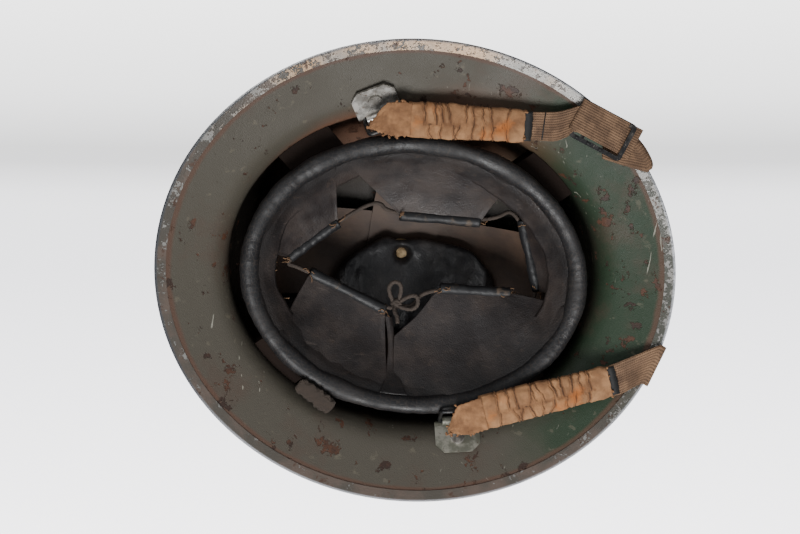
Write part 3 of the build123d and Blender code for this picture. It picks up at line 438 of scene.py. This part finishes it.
# A round tube along a line of points; its radius may change with the share of its length and the angle.
def rod(name, points, radius, material, count, ends=True):
    rows = []
    total = len(points) - 1
    side = Vector((0, 0, 1))
    for i, point in enumerate(points):
        way = (points[min(i + 1, total)] - points[max(i - 1, 0)]).normalized()
        if abs(way.dot(side)) > 0.95:
            side = Vector((1, 0, 0))
        across = way.cross(side).normalized()
        side = across.cross(way).normalized()
        row = []
        for k in range(count):
            turn = 2 * math.pi * k / count
            size = radius(i / total, turn) if callable(radius) else radius
            if ends and i in (0, total):
                size *= 0.55
            row.append((point + (across * math.cos(turn) + side * math.sin(turn)) * size) / 1000)
        rows.append(row)
    return surface(name, rows, material, tube=True)


def thicken(obj, thick, offset=0.0, level=0):
    solid = obj.modifiers.new("thickness", "SOLIDIFY")
    solid.thickness = thick
    solid.offset = offset
    if level:
        obj.modifiers.new("smooth", "SUBSURF").levels = level
        obj.modifiers["smooth"].render_levels = level
    return obj


# Noise at a place given by three plain numbers.
def rumple(a, b, c):
    return noise.noise(Vector((a, b, c)))


p = Paint("tongue_leather")
z = p.part(2)
worn = p.noise(40, 7, 0.62)
colour = p.mix(worn.band(0.38, 0.66), (0.018, 0.014, 0.0135), (0.040, 0.030, 0.026))
colour = p.mix((z + worn * 0.02).band(0.048, 0.026) * 0.7, colour, (0.010, 0.0095, 0.0095))
colour = p.mix(p.noise(150, 6, 0.7).band(0.58, 0.7) * 0.3, colour, (0.085, 0.058, 0.042))
scuff = p.noise(300, 2, 0.5, (0.15, 1, 0.3), 2.0).band(0.68, 0.73)
colour = p.mix(scuff * 0.35, colour, (0.10, 0.08, 0.068))
leather = p.set(colour, p.cells(1300, "F1") * 0.25 + p.noise(70, 5, 0.6) * 1.4, 0.0006,
                Roughness=p.noise(60, 5).band(0.3, 0.7) * 0.25 + 0.4)
p = Paint("hem_leather")
rub = p.noise(130, 6, 0.65)
colour = p.mix(rub.band(0.55, 0.72), (0.012, 0.012, 0.013), (0.085, 0.06, 0.042))
hem_leather = p.set(colour, rub + p.noise(700, 3) * 0.3, 0.0004, Roughness=rub * 0.4 + 0.3,
                    Specular_IOR_Level=0.35)
for name, (turns, swell, lead) in FANS.items():
    fan = list(lead)
    ends = HEM_ENDS.get(name)
    for k, turn in enumerate(turns):
        share = k / (len(turns) - 1)
        fan.append((turn, *(ends[0][c] + (ends[1][c] - ends[0][c]) * share for c in (0, 1)), HEM_H))
    columns = []
    for turn, top_x, top_y, top_h in fan:
        foot = ring_spot(math.radians(turn), FOOT_IN) + Vector((0, 0, FOOT_Z))
        under = ring_spot(math.radians(turn), TURN_IN)
        top = Vector((top_x, top_y, top_h))
        line = [under + Vector((0, 0, 15.2)), foot.lerp(under, 0.15)]
        line[1].z = 18.4
        for reach, rise in ((0.26, 0.36 + swell), (0.62, 0.72 + swell), (1, 1)):
            rib = foot.lerp(top, reach)
            rib.z = FOOT_Z + (top_h - FOOT_Z) * rise
            line.append(rib)
        columns.append(smooth(line, FAN_UP))
    rows = [list(row) for row in zip(*(smooth([c[v] for c in columns], FAN_WIDE) for v in range(FAN_UP)))]
    seed = len(name) * 3.7
    for i, row in enumerate(rows):
        for j, point in enumerate(row):
            up = j / (FAN_UP - 1)
            edge = min(i, FAN_WIDE - 1 - i) / (FAN_WIDE - 1)
            belly = math.sin(math.pi * min(1, up * 1.05))
            fold = rumple(i * 0.045 + seed, j * 0.06, 0) * 3.4 * belly
            pleat = abs(rumple(i * 0.08, j * 0.09 + seed, 3.1)) * 1.3 * belly
            sag = -1.2 * belly * math.sin(math.pi * i / (FAN_WIDE - 1))
            curl = -1.4 * max(0, 1 - edge * 14) * up
            row[j] = at(point + Vector((0, 0, fold - pleat + sag + curl)))
    piece = surface(name + "_leather", rows, leather)
    thicken(piece, 0.0012, 0.0, 1)
    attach(piece, "helmet")
    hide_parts(name)
    if ends:
        first, last = (Vector((*end, HEM_H)) for end in ends)
        line = [SEAT @ first.lerp(last, k / 39) for k in range(40)]

        def plump(share, turn):
            dents = 0.35 * rumple(share * 14, math.cos(turn), seed) + 0.2 * rumple(share * 50, turn, seed)
            return 2.75 + dents - 0.5 * math.sin(math.pi * share) ** 8

        hem = rod(name + "_hem", line, plump, hem_leather, 18, False)
        thicken(hem, 0.0008, -1.0)
        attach(hem, "helmet")

# Apron: the leather is whole near the ring, and the slits between the tongues begin above it.
# It is the sewn foot of all six tongues, turned in over the roll and ragged along its upper edge.
APRON_ROWS = 12
rows = []
for i in range(300):
    turn = 2 * math.pi * i / 300
    foot = ring_spot(turn)
    tall = 15.5 + 4.0 * rumple(math.cos(turn) * 2.2, math.sin(turn) * 2.2, 5)
    row = []
    for v in range(APRON_ROWS):
        share = v / (APRON_ROWS - 1)
        bend = min(1, share * 4)
        rough = 0.8 * noise.noise(foot * 0.09 + Vector((0, 0, share * 2)))
        inward = 1.6 + 4.4 * bend + 0.75 * tall * share - rough
        row.append(at(foot - ring_way(turn) * inward + Vector((0, 0, 15 + 2.2 * bend + tall * share))))
    rows.append(row)
apron = surface("apron", rows, leather, ring=True)
thicken(apron, 0.0010)
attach(apron, "helmet")

# Seam between the two lower tongues: their edges are lapped and sewn into one raised ridge.
# It runs from the ring up to the lace and spreads out at its foot.
RIDGE = ((-3.5, 76.5, 17.6), (-4.2, 66, 30.5), (-4.8, 54, 40.2), (-6.5, 43.5, 46.5), (-8.6, 34.5, 50.6))
rows = []
for i, point in enumerate(smooth([Vector(spot) for spot in RIDGE], 40)):
    wide = 2.2 + 7 * (1 - i / 39) ** 4
    row = []
    for k in range(9):
        side = (k - 4) / 4
        lift = -1.1 * (1 - side * side) ** 2 + 0.3 * rumple(i * 0.3, k, 0)
        row.append(at(point + Vector((side * wide, 0, lift - 0.5))))
    rows.append(row)
seam = surface("tongue_seam", rows, leather)
thicken(seam, 0.0010, 0.0, 1)
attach(seam, "helmet")

# Lace: a dark twisted cord that draws the tongues together, on one closed route through their hems.
# It ends in a knot with a bow of two loops and a short tail.
LACE_THICK = 1.3
LACE_PITCH = 2.4
LACE = ((-5.5, 28.3, 0), (-7.2, 32.7, 0), (-67.3, 10.6, 0), (-78.2, 9.65, 0), (-41.3, -25.1, 0),
        (-24, -36.5, 0), (-17, -28.35, 0), (47, -30.5, 0), (62.9, -44.2, 0), (85.3, 16.1, 0),
        (71.5, 11.2, 0), (12, 14.05, 0), (5, 29.5, 0), (-2.6, 26.7, 0))
BOW = (
    ((-6.7, 25.4, -1), (-11.5, 18.5, -2.8), (-9.5, 12.6, -3.6), (-4.5, 12.6, -3.4), (-2.6, 17.5, -3),
     (-3.6, 24.4, -1)),
    ((-3.2, 27.6, -1.5), (3.5, 29.5, -3.6), (8.6, 26.0, -4.4), (7.6, 19.6, -4.8), (2.6, 19.6, -4),
     (-2.6, 24.6, -1.9)),
    ((-5.4, 27.6, -2.2), (-6.2, 30.5, -4.8), (-3.6, 33.5, -7.2), (-3.3, 37.4, -9.0)),
)


# Many points along the curve that the route's few points pull into shape.
def route(points):
    curve = bpy.data.curves.new("route", "CURVE")
    curve.dimensions = "3D"
    curve.resolution_u = 24
    spline = curve.splines.new("NURBS")
    spline.points.add(len(points) - 1)
    for slot, point in zip(spline.points, points):
        slot.co = (*point, 1)
    spline.order_u = 3
    spline.use_endpoint_u = True
    holder = bpy.data.objects.new("route", curve)
    mesh = bpy.data.meshes.new_from_object(holder)
    line = [v.co.copy() for v in mesh.vertices]
    bpy.data.objects.remove(holder)
    return line


# The radius of a cord of three twisted strands.
def twist(line, radius):
    turns = sum((b - a).length for a, b in zip(line, line[1:])) / LACE_PITCH * math.pi
    return lambda share, turn: radius * (0.84 + 0.2 * abs(math.cos(turn * 1.5 - share * turns)))


# One mesh from several, each with its own material.
def join(objs, name):
    bm = bmesh.new()
    materials = []
    for obj in objs:
        start = len(bm.faces)
        bm.from_mesh(obj.data)
        bm.faces.ensure_lookup_table()
        for material in obj.data.materials:
            if material not in materials:
                materials.append(material)
        for face in bm.faces[start:]:
            face.material_index = materials.index(obj.data.materials[0])
    mesh = bpy.data.meshes.new(name)
    bm.to_mesh(mesh)
    bm.free()
    for obj in objs:
        bpy.data.objects.remove(obj)
    for material in materials:
        mesh.materials.append(material)
    joined = bpy.data.objects.new(name, mesh)
    scene.collection.objects.link(joined)
    return joined


p = Paint("lace_cord")
colour = p.mix(p.noise(260, 5), (0.022, 0.017, 0.014), (0.07, 0.05, 0.038))
lace_paint = p.set(colour, p.noise(2500, 3), 0.0002, Roughness=0.85)
parts = []
for index, points in enumerate((LACE, *BOW)):
    line = [SEAT @ (Vector((0, 0, HEM_H)) + point) for point in route(points)]
    if index == 0:
        line = smooth(line, 900)
    parts.append(rod(f"lace_{index}", line, twist(line, LACE_THICK), lace_paint, 12))
for index, lean in enumerate((-0.5, 0.7)):
    turns = []
    for k in range(70):
        turn = k / 69 * 4.4 * math.pi
        spot = Vector((2.1 * math.cos(turn), 2.1 * math.sin(turn), (k / 69 - 0.5) * 4.4))
        spot.rotate(Matrix.Rotation(1.3, 3, "X") @ Matrix.Rotation(lean, 3, "Y"))
        turns.append(SEAT @ (Vector((-4.8, 26.4, HEM_H - 0.7)) + spot))
    parts.append(rod(f"knot_{index}", turns, twist(turns, 1.25), lace_paint, 12))
lace = join(parts, "lace_twisted")
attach(lace, "helmet")
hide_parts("lace")

# Thread ends: little tangles of orange-brown sewing thread where the hems are tied off.
# Each has four short strands; two more tangles hang at the torn tongue.
p = Paint("thread")
colour = p.mix(p.noise(500, 3), (0.10, 0.052, 0.025), (0.26, 0.15, 0.08))
thread = p.set(colour, p.noise(3000, 2), 0.0002, Roughness=0.85)
TORN_TIES = ((-86, 12), (-78, 30))
TORN_H = 38
random.seed(7)
tied = [(end, HEM_H) for ends in HEM_ENDS.values() for end in ends] + [(end, TORN_H) for end in TORN_TIES]
parts = []
for index, (end, high) in enumerate(tied):
    for strand in range(4):
        spot = Vector((*end, high - 2.2))
        points = [spot]
        way = Vector((random.uniform(-1, 1), random.uniform(-1, 1), random.uniform(-0.8, 0.3)))
        for k in range(5):
            way = (way + Vector([random.uniform(-0.9, 0.9) for _ in range(3)])).normalized()
            spot = spot + way * random.uniform(0.9, 1.9)
            points.append(spot)
        line = [SEAT @ point for point in smooth(points, 22)]
        parts.append(rod(f"tie_{index}_{strand}", line, 0.28, thread, 6))
ties = join(parts, "thread_ties")
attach(ties, "helmet")

# Crown cushion: a bag of glossy black leather, stuffed, and sewn through at channels that part its lobes.
# It lies against the liner bars and has a hollow round the crown nut.
# Each row of the table is a place along it, its two edges, and its fatness there.
PAD_ROWS = ((-41, 20, 27, 0.35), (-38, 12, 34, 0.7), (-31, 3.5, 42, 0.95), (-22.5, -2.5, 45, 0.86),
            (-12, -9.5, 47, 0.98), (-2, -8.5, 48, 0.9), (10, -11, 48, 1.0), (23, -10.5, 48, 0.86),
            (34, -9.8, 47, 1.0), (44, -7, 45, 0.86), (53, 1, 41, 0.95), (58, 8, 33, 0.6),
            (60, 13, 26, 0.3))
PAD_DEEP = 12
BAR_GAP = 3.3
BAR_FOOT = 25
BOWL_TOP = 104.5
BOWL_POWER = 2.15


def under_bars(x, y):
    wide = min(math.hypot(x / (ROLL[0] - BAR_GAP), (y - ROLL_Y) / (ROLL[1] - BAR_GAP)), 1)
    arch = (1 - wide ** BOWL_POWER) ** (1 / BOWL_POWER)
    return BAR_FOOT + (BOWL_TOP - BAR_GAP - BAR_FOOT) * arch - 0.85


p = Paint("pad_leather")
shine = p.noise(60, 6, 0.6)
colour = p.mix(shine.band(0.45, 0.7) * 0.6, (0.013, 0.012, 0.013), (0.05, 0.043, 0.04))
pad_paint = p.set(colour, p.cells(900, "F1") * 0.2 + shine * 1.3, 0.0006, Roughness=shine * 0.3 + 0.25)
stations = smooth([Vector(row[:3]) for row in PAD_ROWS], 90)
fats = smooth([Vector((row[3], 0, 0)) for row in PAD_ROWS], 90)
rows = []
for (x, low, high), fat in zip(stations, fats):
    mid, wide, deep = (low + high) / 2, (high - low) / 2, PAD_DEEP * fat.x
    row = []
    for k in range(64):
        turn = 2 * math.pi * k / 64
        c, s = math.cos(turn), math.sin(turn)
        y = mid + wide * math.copysign(abs(c) ** 0.75, c)
        depth = deep * (0.5 - 0.5 * math.copysign(abs(s) ** 0.7, s))
        wrinkle = 0.5 * rumple(x * 0.22, y * 0.16, depth * 0.2) * (1 - s)
        thin = max(0, min(1, (math.hypot(x, y) - 2.6) / 4)) ** 0.4
        row.append(at(x, y, under_bars(x, y) - depth * thin - 0.4 + wrinkle))
    rows.append(row)
pad = surface("crown_cushion", rows, pad_paint, tube=True)
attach(pad, "helmet")
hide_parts("crown_pad")

# Felt tab: a thick ragged scrap of grey-brown felt, wedged between the ring and the brim.
# It lies flat on the steel and its long sides are torn.
FELT = Vector((-51.0, 81.6, 10.75))
FELT_WAY = Vector((0.864, 0.503, 0))
FELT_SIDE = Vector((-0.503, 0.864, 0))
FELT_LONG = 26
FELT_HALF = 4.6
FELT_THICK = 1.9
p = Paint("felt")
colour = p.mix(p.noise(300, 6, 0.7), (0.016, 0.013, 0.011), (0.060, 0.042, 0.030))
felt_paint = p.set(colour, p.noise(1800, 4, 0.7), 0.0006, Roughness=0.95)
rows = []
for i in range(34):
    share = i / 33
    size = 0.3 if i in (0, 33) else 1 - 0.25 * abs(share * 2 - 1) ** 6
    row = []
    for k in range(40):
        turn = 2 * math.pi * k / 40
        c, s = math.cos(turn), math.sin(turn)
        rough = 1.9 * rumple(i * 0.3, c * 2, s * 2)
        spot = FELT + FELT_WAY * ((share - 0.5) * FELT_LONG)
        spot += FELT_SIDE * (math.copysign(abs(c) ** 0.5, c) * (FELT_HALF * size + rough))
        spot.z += math.copysign(abs(s) ** 0.5, s) * FELT_THICK * size
        row.append(at(spot))
    rows.append(row)
felt = surface("felt_scrap", rows, felt_paint, tube=True)
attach(felt, "helmet")
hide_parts("felt_tab")

# Long webbing: one strap of khaki brown cotton, woven with lengthwise ribs and a fine cross weave.
# It comes from the buckle, folds back over the brim's edge, lies along the outside of the brim, folds
# under it again and ends in the lower sleeve. Each station is a centre and a width vector.
RIB_PITCH = 0.00146
WEFT_PITCH = 0.0011
STRAP = (
    ((98.0, -91.2, 0.2), (1.99, 18.9, 0.0)), ((117.84, -86.42, -1.05), (17.08, 18.26, 0.0)),
    ((119.81, -88.26, -1.05), (17.08, 18.26, 0.0)), ((120.74, -89.14, 0.35), (17.08, 18.26, 0.0)),
    ((120.83, -89.22, 2.4), (17.08, 18.26, 0.0)), ((118.61, -86.37, 3.89), (17.21, 18.14, -0.11)),
    ((121.89, -73.9, 6.15), (19.62, 5.7, -4.84)), ((127.34, -56.97, 8.17), (17.78, -1.5, -6.52)),
    ((134.76, -36.11, 8.98), (17.17, -4.01, -7.08)), ((139.88, -15.05, 8.98), (16.85, -5.24, -7.04)),
    ((142.34, 4.36, 8.38), (16.41, -7.03, -6.51)), ((144.91, 21.37, 6.56), (15.55, -12.29, -5.24)),
    ((147.87, 36.6, 3.89), (8.26, -24.65, -0.19)), ((150.93, 38.75, 2.4), (8.04, -24.73, 0.0)),
    ((150.81, 38.71, 0.35), (8.04, -24.73, 0.0)), ((149.6, 38.32, -1.05), (8.04, -24.73, 0.0)),
    ((147.03, 37.48, -1.05), (8.04, -24.73, 0.0)), ((127.3, 49.32, 0.62), (-7.05, -17.64, 0.0)),
    ((113.05, 55.02, 1.88), (-5.79, -14.48, 0.0)),
)


# A strap through stations, with points spaced by the way between them.
def strap(name, stations, thick, material, columns, step, wave, bulge=None):
    rows = []
    for i in range(len(stations) - 1):
        nearby = [stations[max(0, min(len(stations) - 1, i + j))] for j in (-1, 0, 1, 2)]
        mids = [Vector(centre) for centre, _ in nearby]
        arms = [Vector(width) for _, width in nearby]
        near = (mids[2] - mids[1]).length
        count = max(3, int(max(near, (arms[2] - arms[1]).length * 0.6) / step))
        m = (mids[2] - mids[0]) * 0.5
        n = (mids[3] - mids[1]) * 0.5
        m = m.normalized() * min(m.length, near) if m.length else m
        n = n.normalized() * min(n.length, near) if n.length else n
        for k in range(count + (i == len(stations) - 2)):
            f = k / count
            arm = arms[1].lerp(arms[2], 0.5 * (1 - math.cos(math.pi * f)))
            centre = (mids[1] * (2 * f ** 3 - 3 * f ** 2 + 1) + m * (f ** 3 - 2 * f ** 2 + f)
                      + mids[2] * (3 * f ** 2 - 2 * f ** 3) + n * (f ** 3 - f ** 2))
            row = []
            for j in range(columns):
                s = j / (columns - 1) - 0.5
                ripple = wave * rumple(centre.x * 0.12, centre.y * 0.12, s * 2)
                spot = centre + arm * s + Vector((0, 0, ripple))
                if bulge:
                    spot += bulge(centre, s)
                row.append(at(spot))
            rows.append(row)
    return thicken(surface(name, rows, material), thick)


# The fold round the edge stands off it in a round bow beyond the buckle.
def bow(centre, s):
    near = max(0, 1 - (centre - Vector((120.6, -88.9, 1.0))).length / 13)
    return Vector((0.72, -0.66, -0.1)) * (3.4 * math.sqrt(max(0, 1 - (2 * s) ** 2)) * near ** 0.7)


p = Paint("webbing", "UV")
u, v = p.part(0), p.part(1)
rib = (v * (2 * math.pi / RIB_PITCH)).sine()
weft = (u * (2 * math.pi / WEFT_PITCH) + rib * 1.2).sine()
colour = p.mix(p.noise(70, 6, 0.65).band(0.35, 0.68), (0.10, 0.055, 0.030), (0.25, 0.145, 0.080))
colour = p.mix(rib.band(-0.2, -0.9) * 0.45, colour, (0.050, 0.028, 0.017))
colour = p.mix(p.noise(22, 4).band(0.62, 0.75) * 0.4, colour, (0.19, 0.085, 0.03))
webbing = p.set(colour, rib * 0.45 + weft * 0.3 + p.noise(2500, 2) * 0.3, 0.00035, Roughness=0.85)
belt = strap("strap_belt", STRAP, 0.0015, webbing, 25, 1.0, 0.35, bow)
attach(belt, "strap")
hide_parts("strap_webbing")

# Doubled end in the buckle: the same webbing, drawn round the toothed bar that grips it.
# It comes out behind the frame's far side. Its line is in the buckle's own measure, along and off its face.
BUCKLE = Vector((96.1, -98.3, -2.84))
ALONG = Vector((0.9346, 0.3457, -0.0837))
ACROSS = Vector((-0.3469, 0.9379, 0.0))
FACE = Vector((0.0785, 0.029, 0.9965))
END_WIDE = 19.4
END_SHIFT = -1.9
END_LINE = ((21.5, 1.6), (16.2, 1.55), (13.4, 0.9), (11.6, -0.9), (9, -1.9), (3, -2.1), (-5, -2.15),
            (-12, -2.3), (-16.2, -2.5), (-17.9, -2.1), (-18.3, -1.0))
stations = [(BUCKLE + ALONG * u + FACE * v + ACROSS * END_SHIFT, ACROSS * END_WIDE) for u, v in END_LINE]
end = strap("strap_tip", stations, 0.0011, webbing, 21, 0.8, 0.15)
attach(end, "strap")
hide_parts("strap_end")

# Tab between the upper sleeve and the buckle: two layers of webbing with a fold round the frame's near bar.
# It widens towards the buckle, and both layers follow one line, a little above and below it.
TAB_BAR = Vector((81.006, -103.883, -1.489))
TAB_LIFT = 0.66
layers = []
for lift in (-TAB_LIFT, TAB_LIFT):
    layers.append([((38.71, -94.08, 3.48 + lift), (1.13, 15.56, 0)),
                   ((58.0, -95.9, 1.9 + lift), (1.2, 16.56, 0)),
                   ((69.0, -97.2, 1.2 + lift), (0.2, 17.6, 0)),
                   ((77.6, -101.2, -0.6 + lift * 1.4), (-4.4, 19.0, 0))])
turned = []
for turn in (-70, -35, 0, 35, 70):
    c, s = math.cos(math.radians(turn)), math.sin(math.radians(turn))
    turned.append((TAB_BAR + ALONG * (2.1 * c) + FACE * (1.25 * s), (-5.76, 15.57, 0)))
tab = strap("strap_tab", layers[0] + turned + layers[1][::-1], 0.0012, webbing, 17, 0.9, 0.1)
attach(tab, "strap")
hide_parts("buckle_tab")

# Sleeves: tubes of tan cloth over the springs, gathered by them into uneven puckers either side of a drawn-in
# middle line.
# Each ends in a frayed flap over its wire loop.
# For each: where it starts, its way, side and up, its length, its seed, and the CAD nodes that it hides.
SLEEVES = {
    "sleeve_a": ((-18.22, -89.96, 7.4), (0.995, -0.072, -0.0685), (0.0722, 0.9974, 0),
                 (0.0683, -0.0049, 0.9977), 68.6, 3.0, "sleeve_upper", "springs_upper"),
    "sleeve_b": ((50.26, 80.13, 7.4), (0.9254, -0.3701, -0.0814), (0.3713, 0.9285, 0),
                 (0.0756, -0.0302, 0.9967), 79.2, 11.0, "sleeve_lower", "springs_lower"),
}
SLEEVE_HALF = 9.6
SLEEVE_THICK = 3.0
FLAP = ((1.5, -9.6, 9.8), (-4, -9.9, 10.1), (-9, -9.4, 10.2), (-13, -8.8, 9.6), (-17, -4.2, 8.4),
        (-21, 1.8, 6.6), (-22.5, 3.2, 5.4))
FLAP_UNDER = -3.7
WEAVE_PITCH = 0.0007
p = Paint("sleeve_cloth", "UV")
colour = p.mix(p.noise(90, 6, 0.65).band(0.35, 0.7), (0.19, 0.088, 0.038), (0.38, 0.19, 0.084))
colour = p.mix(p.noise(34, 6, 0.62).band(0.52, 0.66) * 0.7, colour, (0.45, 0.14, 0.028))
colour = p.mix(p.noise(160, 6, 0.7).band(0.55, 0.75) * 0.45, colour, (0.08, 0.042, 0.022))
# Painted shade: the cloth darkens in the creases between the puckers, by each point's fold value, and is
# paler in patches on the puckers' tops.
fold = wire(p.tree, "Attribute", out="Fac", attribute_name="fold")
colour = p.mix(fold.band(0.2, 0.66), (0.055, 0.022, 0.009), colour)
colour = p.mix(fold.band(0.85, 1.0) * p.noise(60, 4).band(0.35, 0.7) * 0.35, colour, (0.55, 0.31, 0.15))
weave = (p.part(0) * (2 * math.pi / WEAVE_PITCH)).sine() * (p.part(1) * (2 * math.pi / WEAVE_PITCH)).sine()
cloth = p.set(colour, weave * 0.4 + p.noise(900, 4, 0.6) * 0.3, 0.00025, Roughness=0.9)


def sleeve(name, start, way, side, up, length, seed, *hidden):
    start, way, side, up = Vector(start), Vector(way), Vector(side), Vector(up)
    random.seed(seed)
    creases = {}
    for half in (-1, 1):
        creases[half] = []
        place = 9 + random.uniform(0, 4)
        while place < length - 8:
            creases[half].append((place, random.uniform(-0.4, 0.4), random.uniform(0.75, 1.5)))
            place += random.uniform(4.4, 8.2)

    # How far a spot stands from the nearest crease: none in it, whole on the puckers.
    def pucker(s, across):
        seam = across - 1.5 + 2.2 * rumple(s * 0.1, seed, 0)
        mouths = 9 * max(0, (9 - s) / 9, (s - length + 9) / 9)
        line = abs(seam) * 1.3 + 0.25 + 2.5 * max(0, rumple(s * 0.15, seed, 9)) + mouths
        for place, slant, strength in creases[1 if seam > 0 else -1]:
            wander = 1.5 * rumple(across * 0.22, place, seed) + 0.4 * rumple(across * 0.9, place, seed)
            line = min(line, abs(s - place - slant * seam - wander) * strength + 0.25)
        return math.sin(math.pi / 2 * min(1, line / 2.0))

    rows = []
    count = int(length * 2.6)
    for i in range(count + 1):
        s = length * i / count
        mouth = 1 + 0.05 * math.sin(6 * s / length) - 0.12 * max(0, 1 - (length - s) / 3)
        row = []
        for k in range(80):
            turn = 2 * math.pi * k / 80
            c, n = math.cos(turn), math.sin(turn)
            across = math.copysign(abs(c) ** 0.62, c) * SLEEVE_HALF
            high = math.copysign(abs(n) ** 0.72, n) * SLEEVE_THICK
            push = 3.4 * pucker(s, across) - 2.4 + 0.9 * rumple(s * 0.22, across * 0.25, high * 0.3 + seed)
            spot = start + way * (s + 0.5 * rumple(across * 0.5, high, seed + s * 0.2))
            spot += side * (across * mouth + math.copysign(push, c) * abs(c) ** 1.5 * 0.7)
            spot += up * (high * mouth + math.copysign(push, n) * abs(n) ** 0.6)
            row.append(at(spot))
        rows.append(row)
    tube = surface(name + "_tube", rows, cloth, tube=True)
    rows = []
    for x, low, high in smooth([Vector(v) for v in FLAP], 40):
        row = []
        for k in range(26):
            y = low + (high - low) * k / 25
            bend = 0.9 * rumple(x * 0.2, y * 0.25, seed) + 0.5 * rumple(x * 0.6, y * 0.5, seed)
            ragged = 1.1 * rumple(x * 0.9, k, seed) if k in (0, 25) else 0
            row.append(at(start + way * x + side * (y + ragged) + up * (bend + FLAP_UNDER)))
        rows.append(row)
    flap = surface(name + "_flap", rows, cloth)
    hairs = []
    for index in range(26):
        if index < 14:
            x, low, high = FLAP[random.randint(1, 6)]
            base = Vector((x + random.uniform(-2, 2), random.choice((low, high)), FLAP_UNDER))
            lean = Vector((random.uniform(-1, 0.3), math.copysign(random.uniform(0.2, 1), base.y),
                           random.uniform(-0.5, 0.3)))
        else:
            turn = random.uniform(0, 2 * math.pi)
            base = Vector((length - 0.5, SLEEVE_HALF * math.cos(turn), 3.2 * math.sin(turn)))
            lean = Vector((1, random.uniform(-0.5, 0.5), random.uniform(-0.4, 0.4)))
        points = [base]
        for _ in range(3):
            lean = (lean + Vector([random.uniform(-0.5, 0.5) for _ in range(3)])).normalized()
            points.append(points[-1] + lean * random.uniform(0.3, 0.8))
        line = [SEAT @ (start + way * q.x + side * q.y + up * q.z) for q in smooth(points, 8)]
        hairs.append(rod(f"hair_{index}", line, 0.08, cloth, 4))
    finished = thicken(join([tube, flap, *hairs], name), 0.0006, -1.0)
    bpy.context.view_layer.update()
    mesh = bpy.data.meshes.new_from_object(finished.evaluated_get(bpy.context.evaluated_depsgraph_get()))
    finished.modifiers.clear()
    finished.data = mesh
    inverse = SEAT.inverted()
    # Each point's fold value: 0 in a crease, 1 on a pucker; it carries the painted shade in the creases.
    folds = mesh.attributes.new("fold", "FLOAT", "POINT")
    for index, vert in enumerate(mesh.vertices):
        spot = inverse @ (vert.co * 1000) - start
        folds.data[index].value = pucker(spot.dot(way), spot.dot(side)) if spot.dot(way) > 2 else 0.85
    at(start + way * 4)
    at(start + way * (length - 3))
    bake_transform(finished)
    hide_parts(*hidden)


for name, row in SLEEVES.items():
    sleeve(name, *row)

# Gap shade: a narrow near-black strip between each sleeve's mouth and the webbing, painted shadow in the gap.
# It rides with the strap.
p = Paint("gap_painted_shade")
black = p.set((0.006, 0.006, 0.006), p.noise(900, 3), 0.0002, Roughness=0.7)
for letter, (start, way, side, _, length, *_) in zip("ab", SLEEVES.values()):
    rows = []
    for along in (-4, -1, 1.5, 4.6):
        row = []
        for k in range(13):
            spot = Vector(start) + Vector(way) * (length + along + 0.5 * rumple(k * 0.5, along, 1))
            row.append(at(spot + Vector(side) * ((k / 12 - 0.5) * 17.4) + Vector((0, 0, -1.5))))
        rows.append(row)
    gap = thicken(surface("shade_gap_" + letter, rows, black), 0.0008)
    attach(gap, "strap")

# Buckle notches: three small slots cut in the frame's long side, each filled with a black sheet of painted
# shade.
# The narrow slit beside them, where the tab's layers part next to the buckle, is a black sheet of painted
# shadow too.
parts = []
for u in (-13.2, -5.4, 2.6):
    rows = [[at(BUCKLE + ALONG * (u + a) + ACROSS * (10.0 + b) - FACE * 0.76) for b in (-0.2, 1.2)]
            for a in (0, 2.6)]
    parts.append(surface("notch", rows, black))
rows = [[at(61 + a, -96.35 + b, high) for b in (-8.2, 8.2)] for a, high in ((0, 0.25), (0.7, 0.20))]
parts.append(surface("slit", rows, black))
notch_shade = thicken(join(parts, "buckle_notch_shade"), 0.0001)
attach(notch_shade, "strap")

# Floor: a pale table cloth for the views from above.
# It is clear from below, and neither shades nor lights the helmet's underside.
FLOOR_HALF = 3
p = Paint("table_cloth")
p.set(p.mix(p.noise(6, 4), (0.72, 0.72, 0.73), (0.8, 0.8, 0.81)), Roughness=0.8)
from_below = wire(p.tree, "NewGeometry", out="Backfacing")
clear = wire(p.tree, "BsdfTransparent")
both = wire(p.tree, "MixShader", {0: from_below, 1: Val(p.tree, p.shader.outputs[0]), 2: clear})
feed(p.tree, both, p.tree.nodes["Material Output"].inputs["Surface"])
rows = [[Vector((x, y, 0)) for x in (-FLOOR_HALF, FLOOR_HALF)] for y in (-FLOOR_HALF, FLOOR_HALF)]
floor = surface("floor", rows, p.material)
floor.visible_shadow = False
floor.visible_diffuse = False
floor.visible_glossy = False
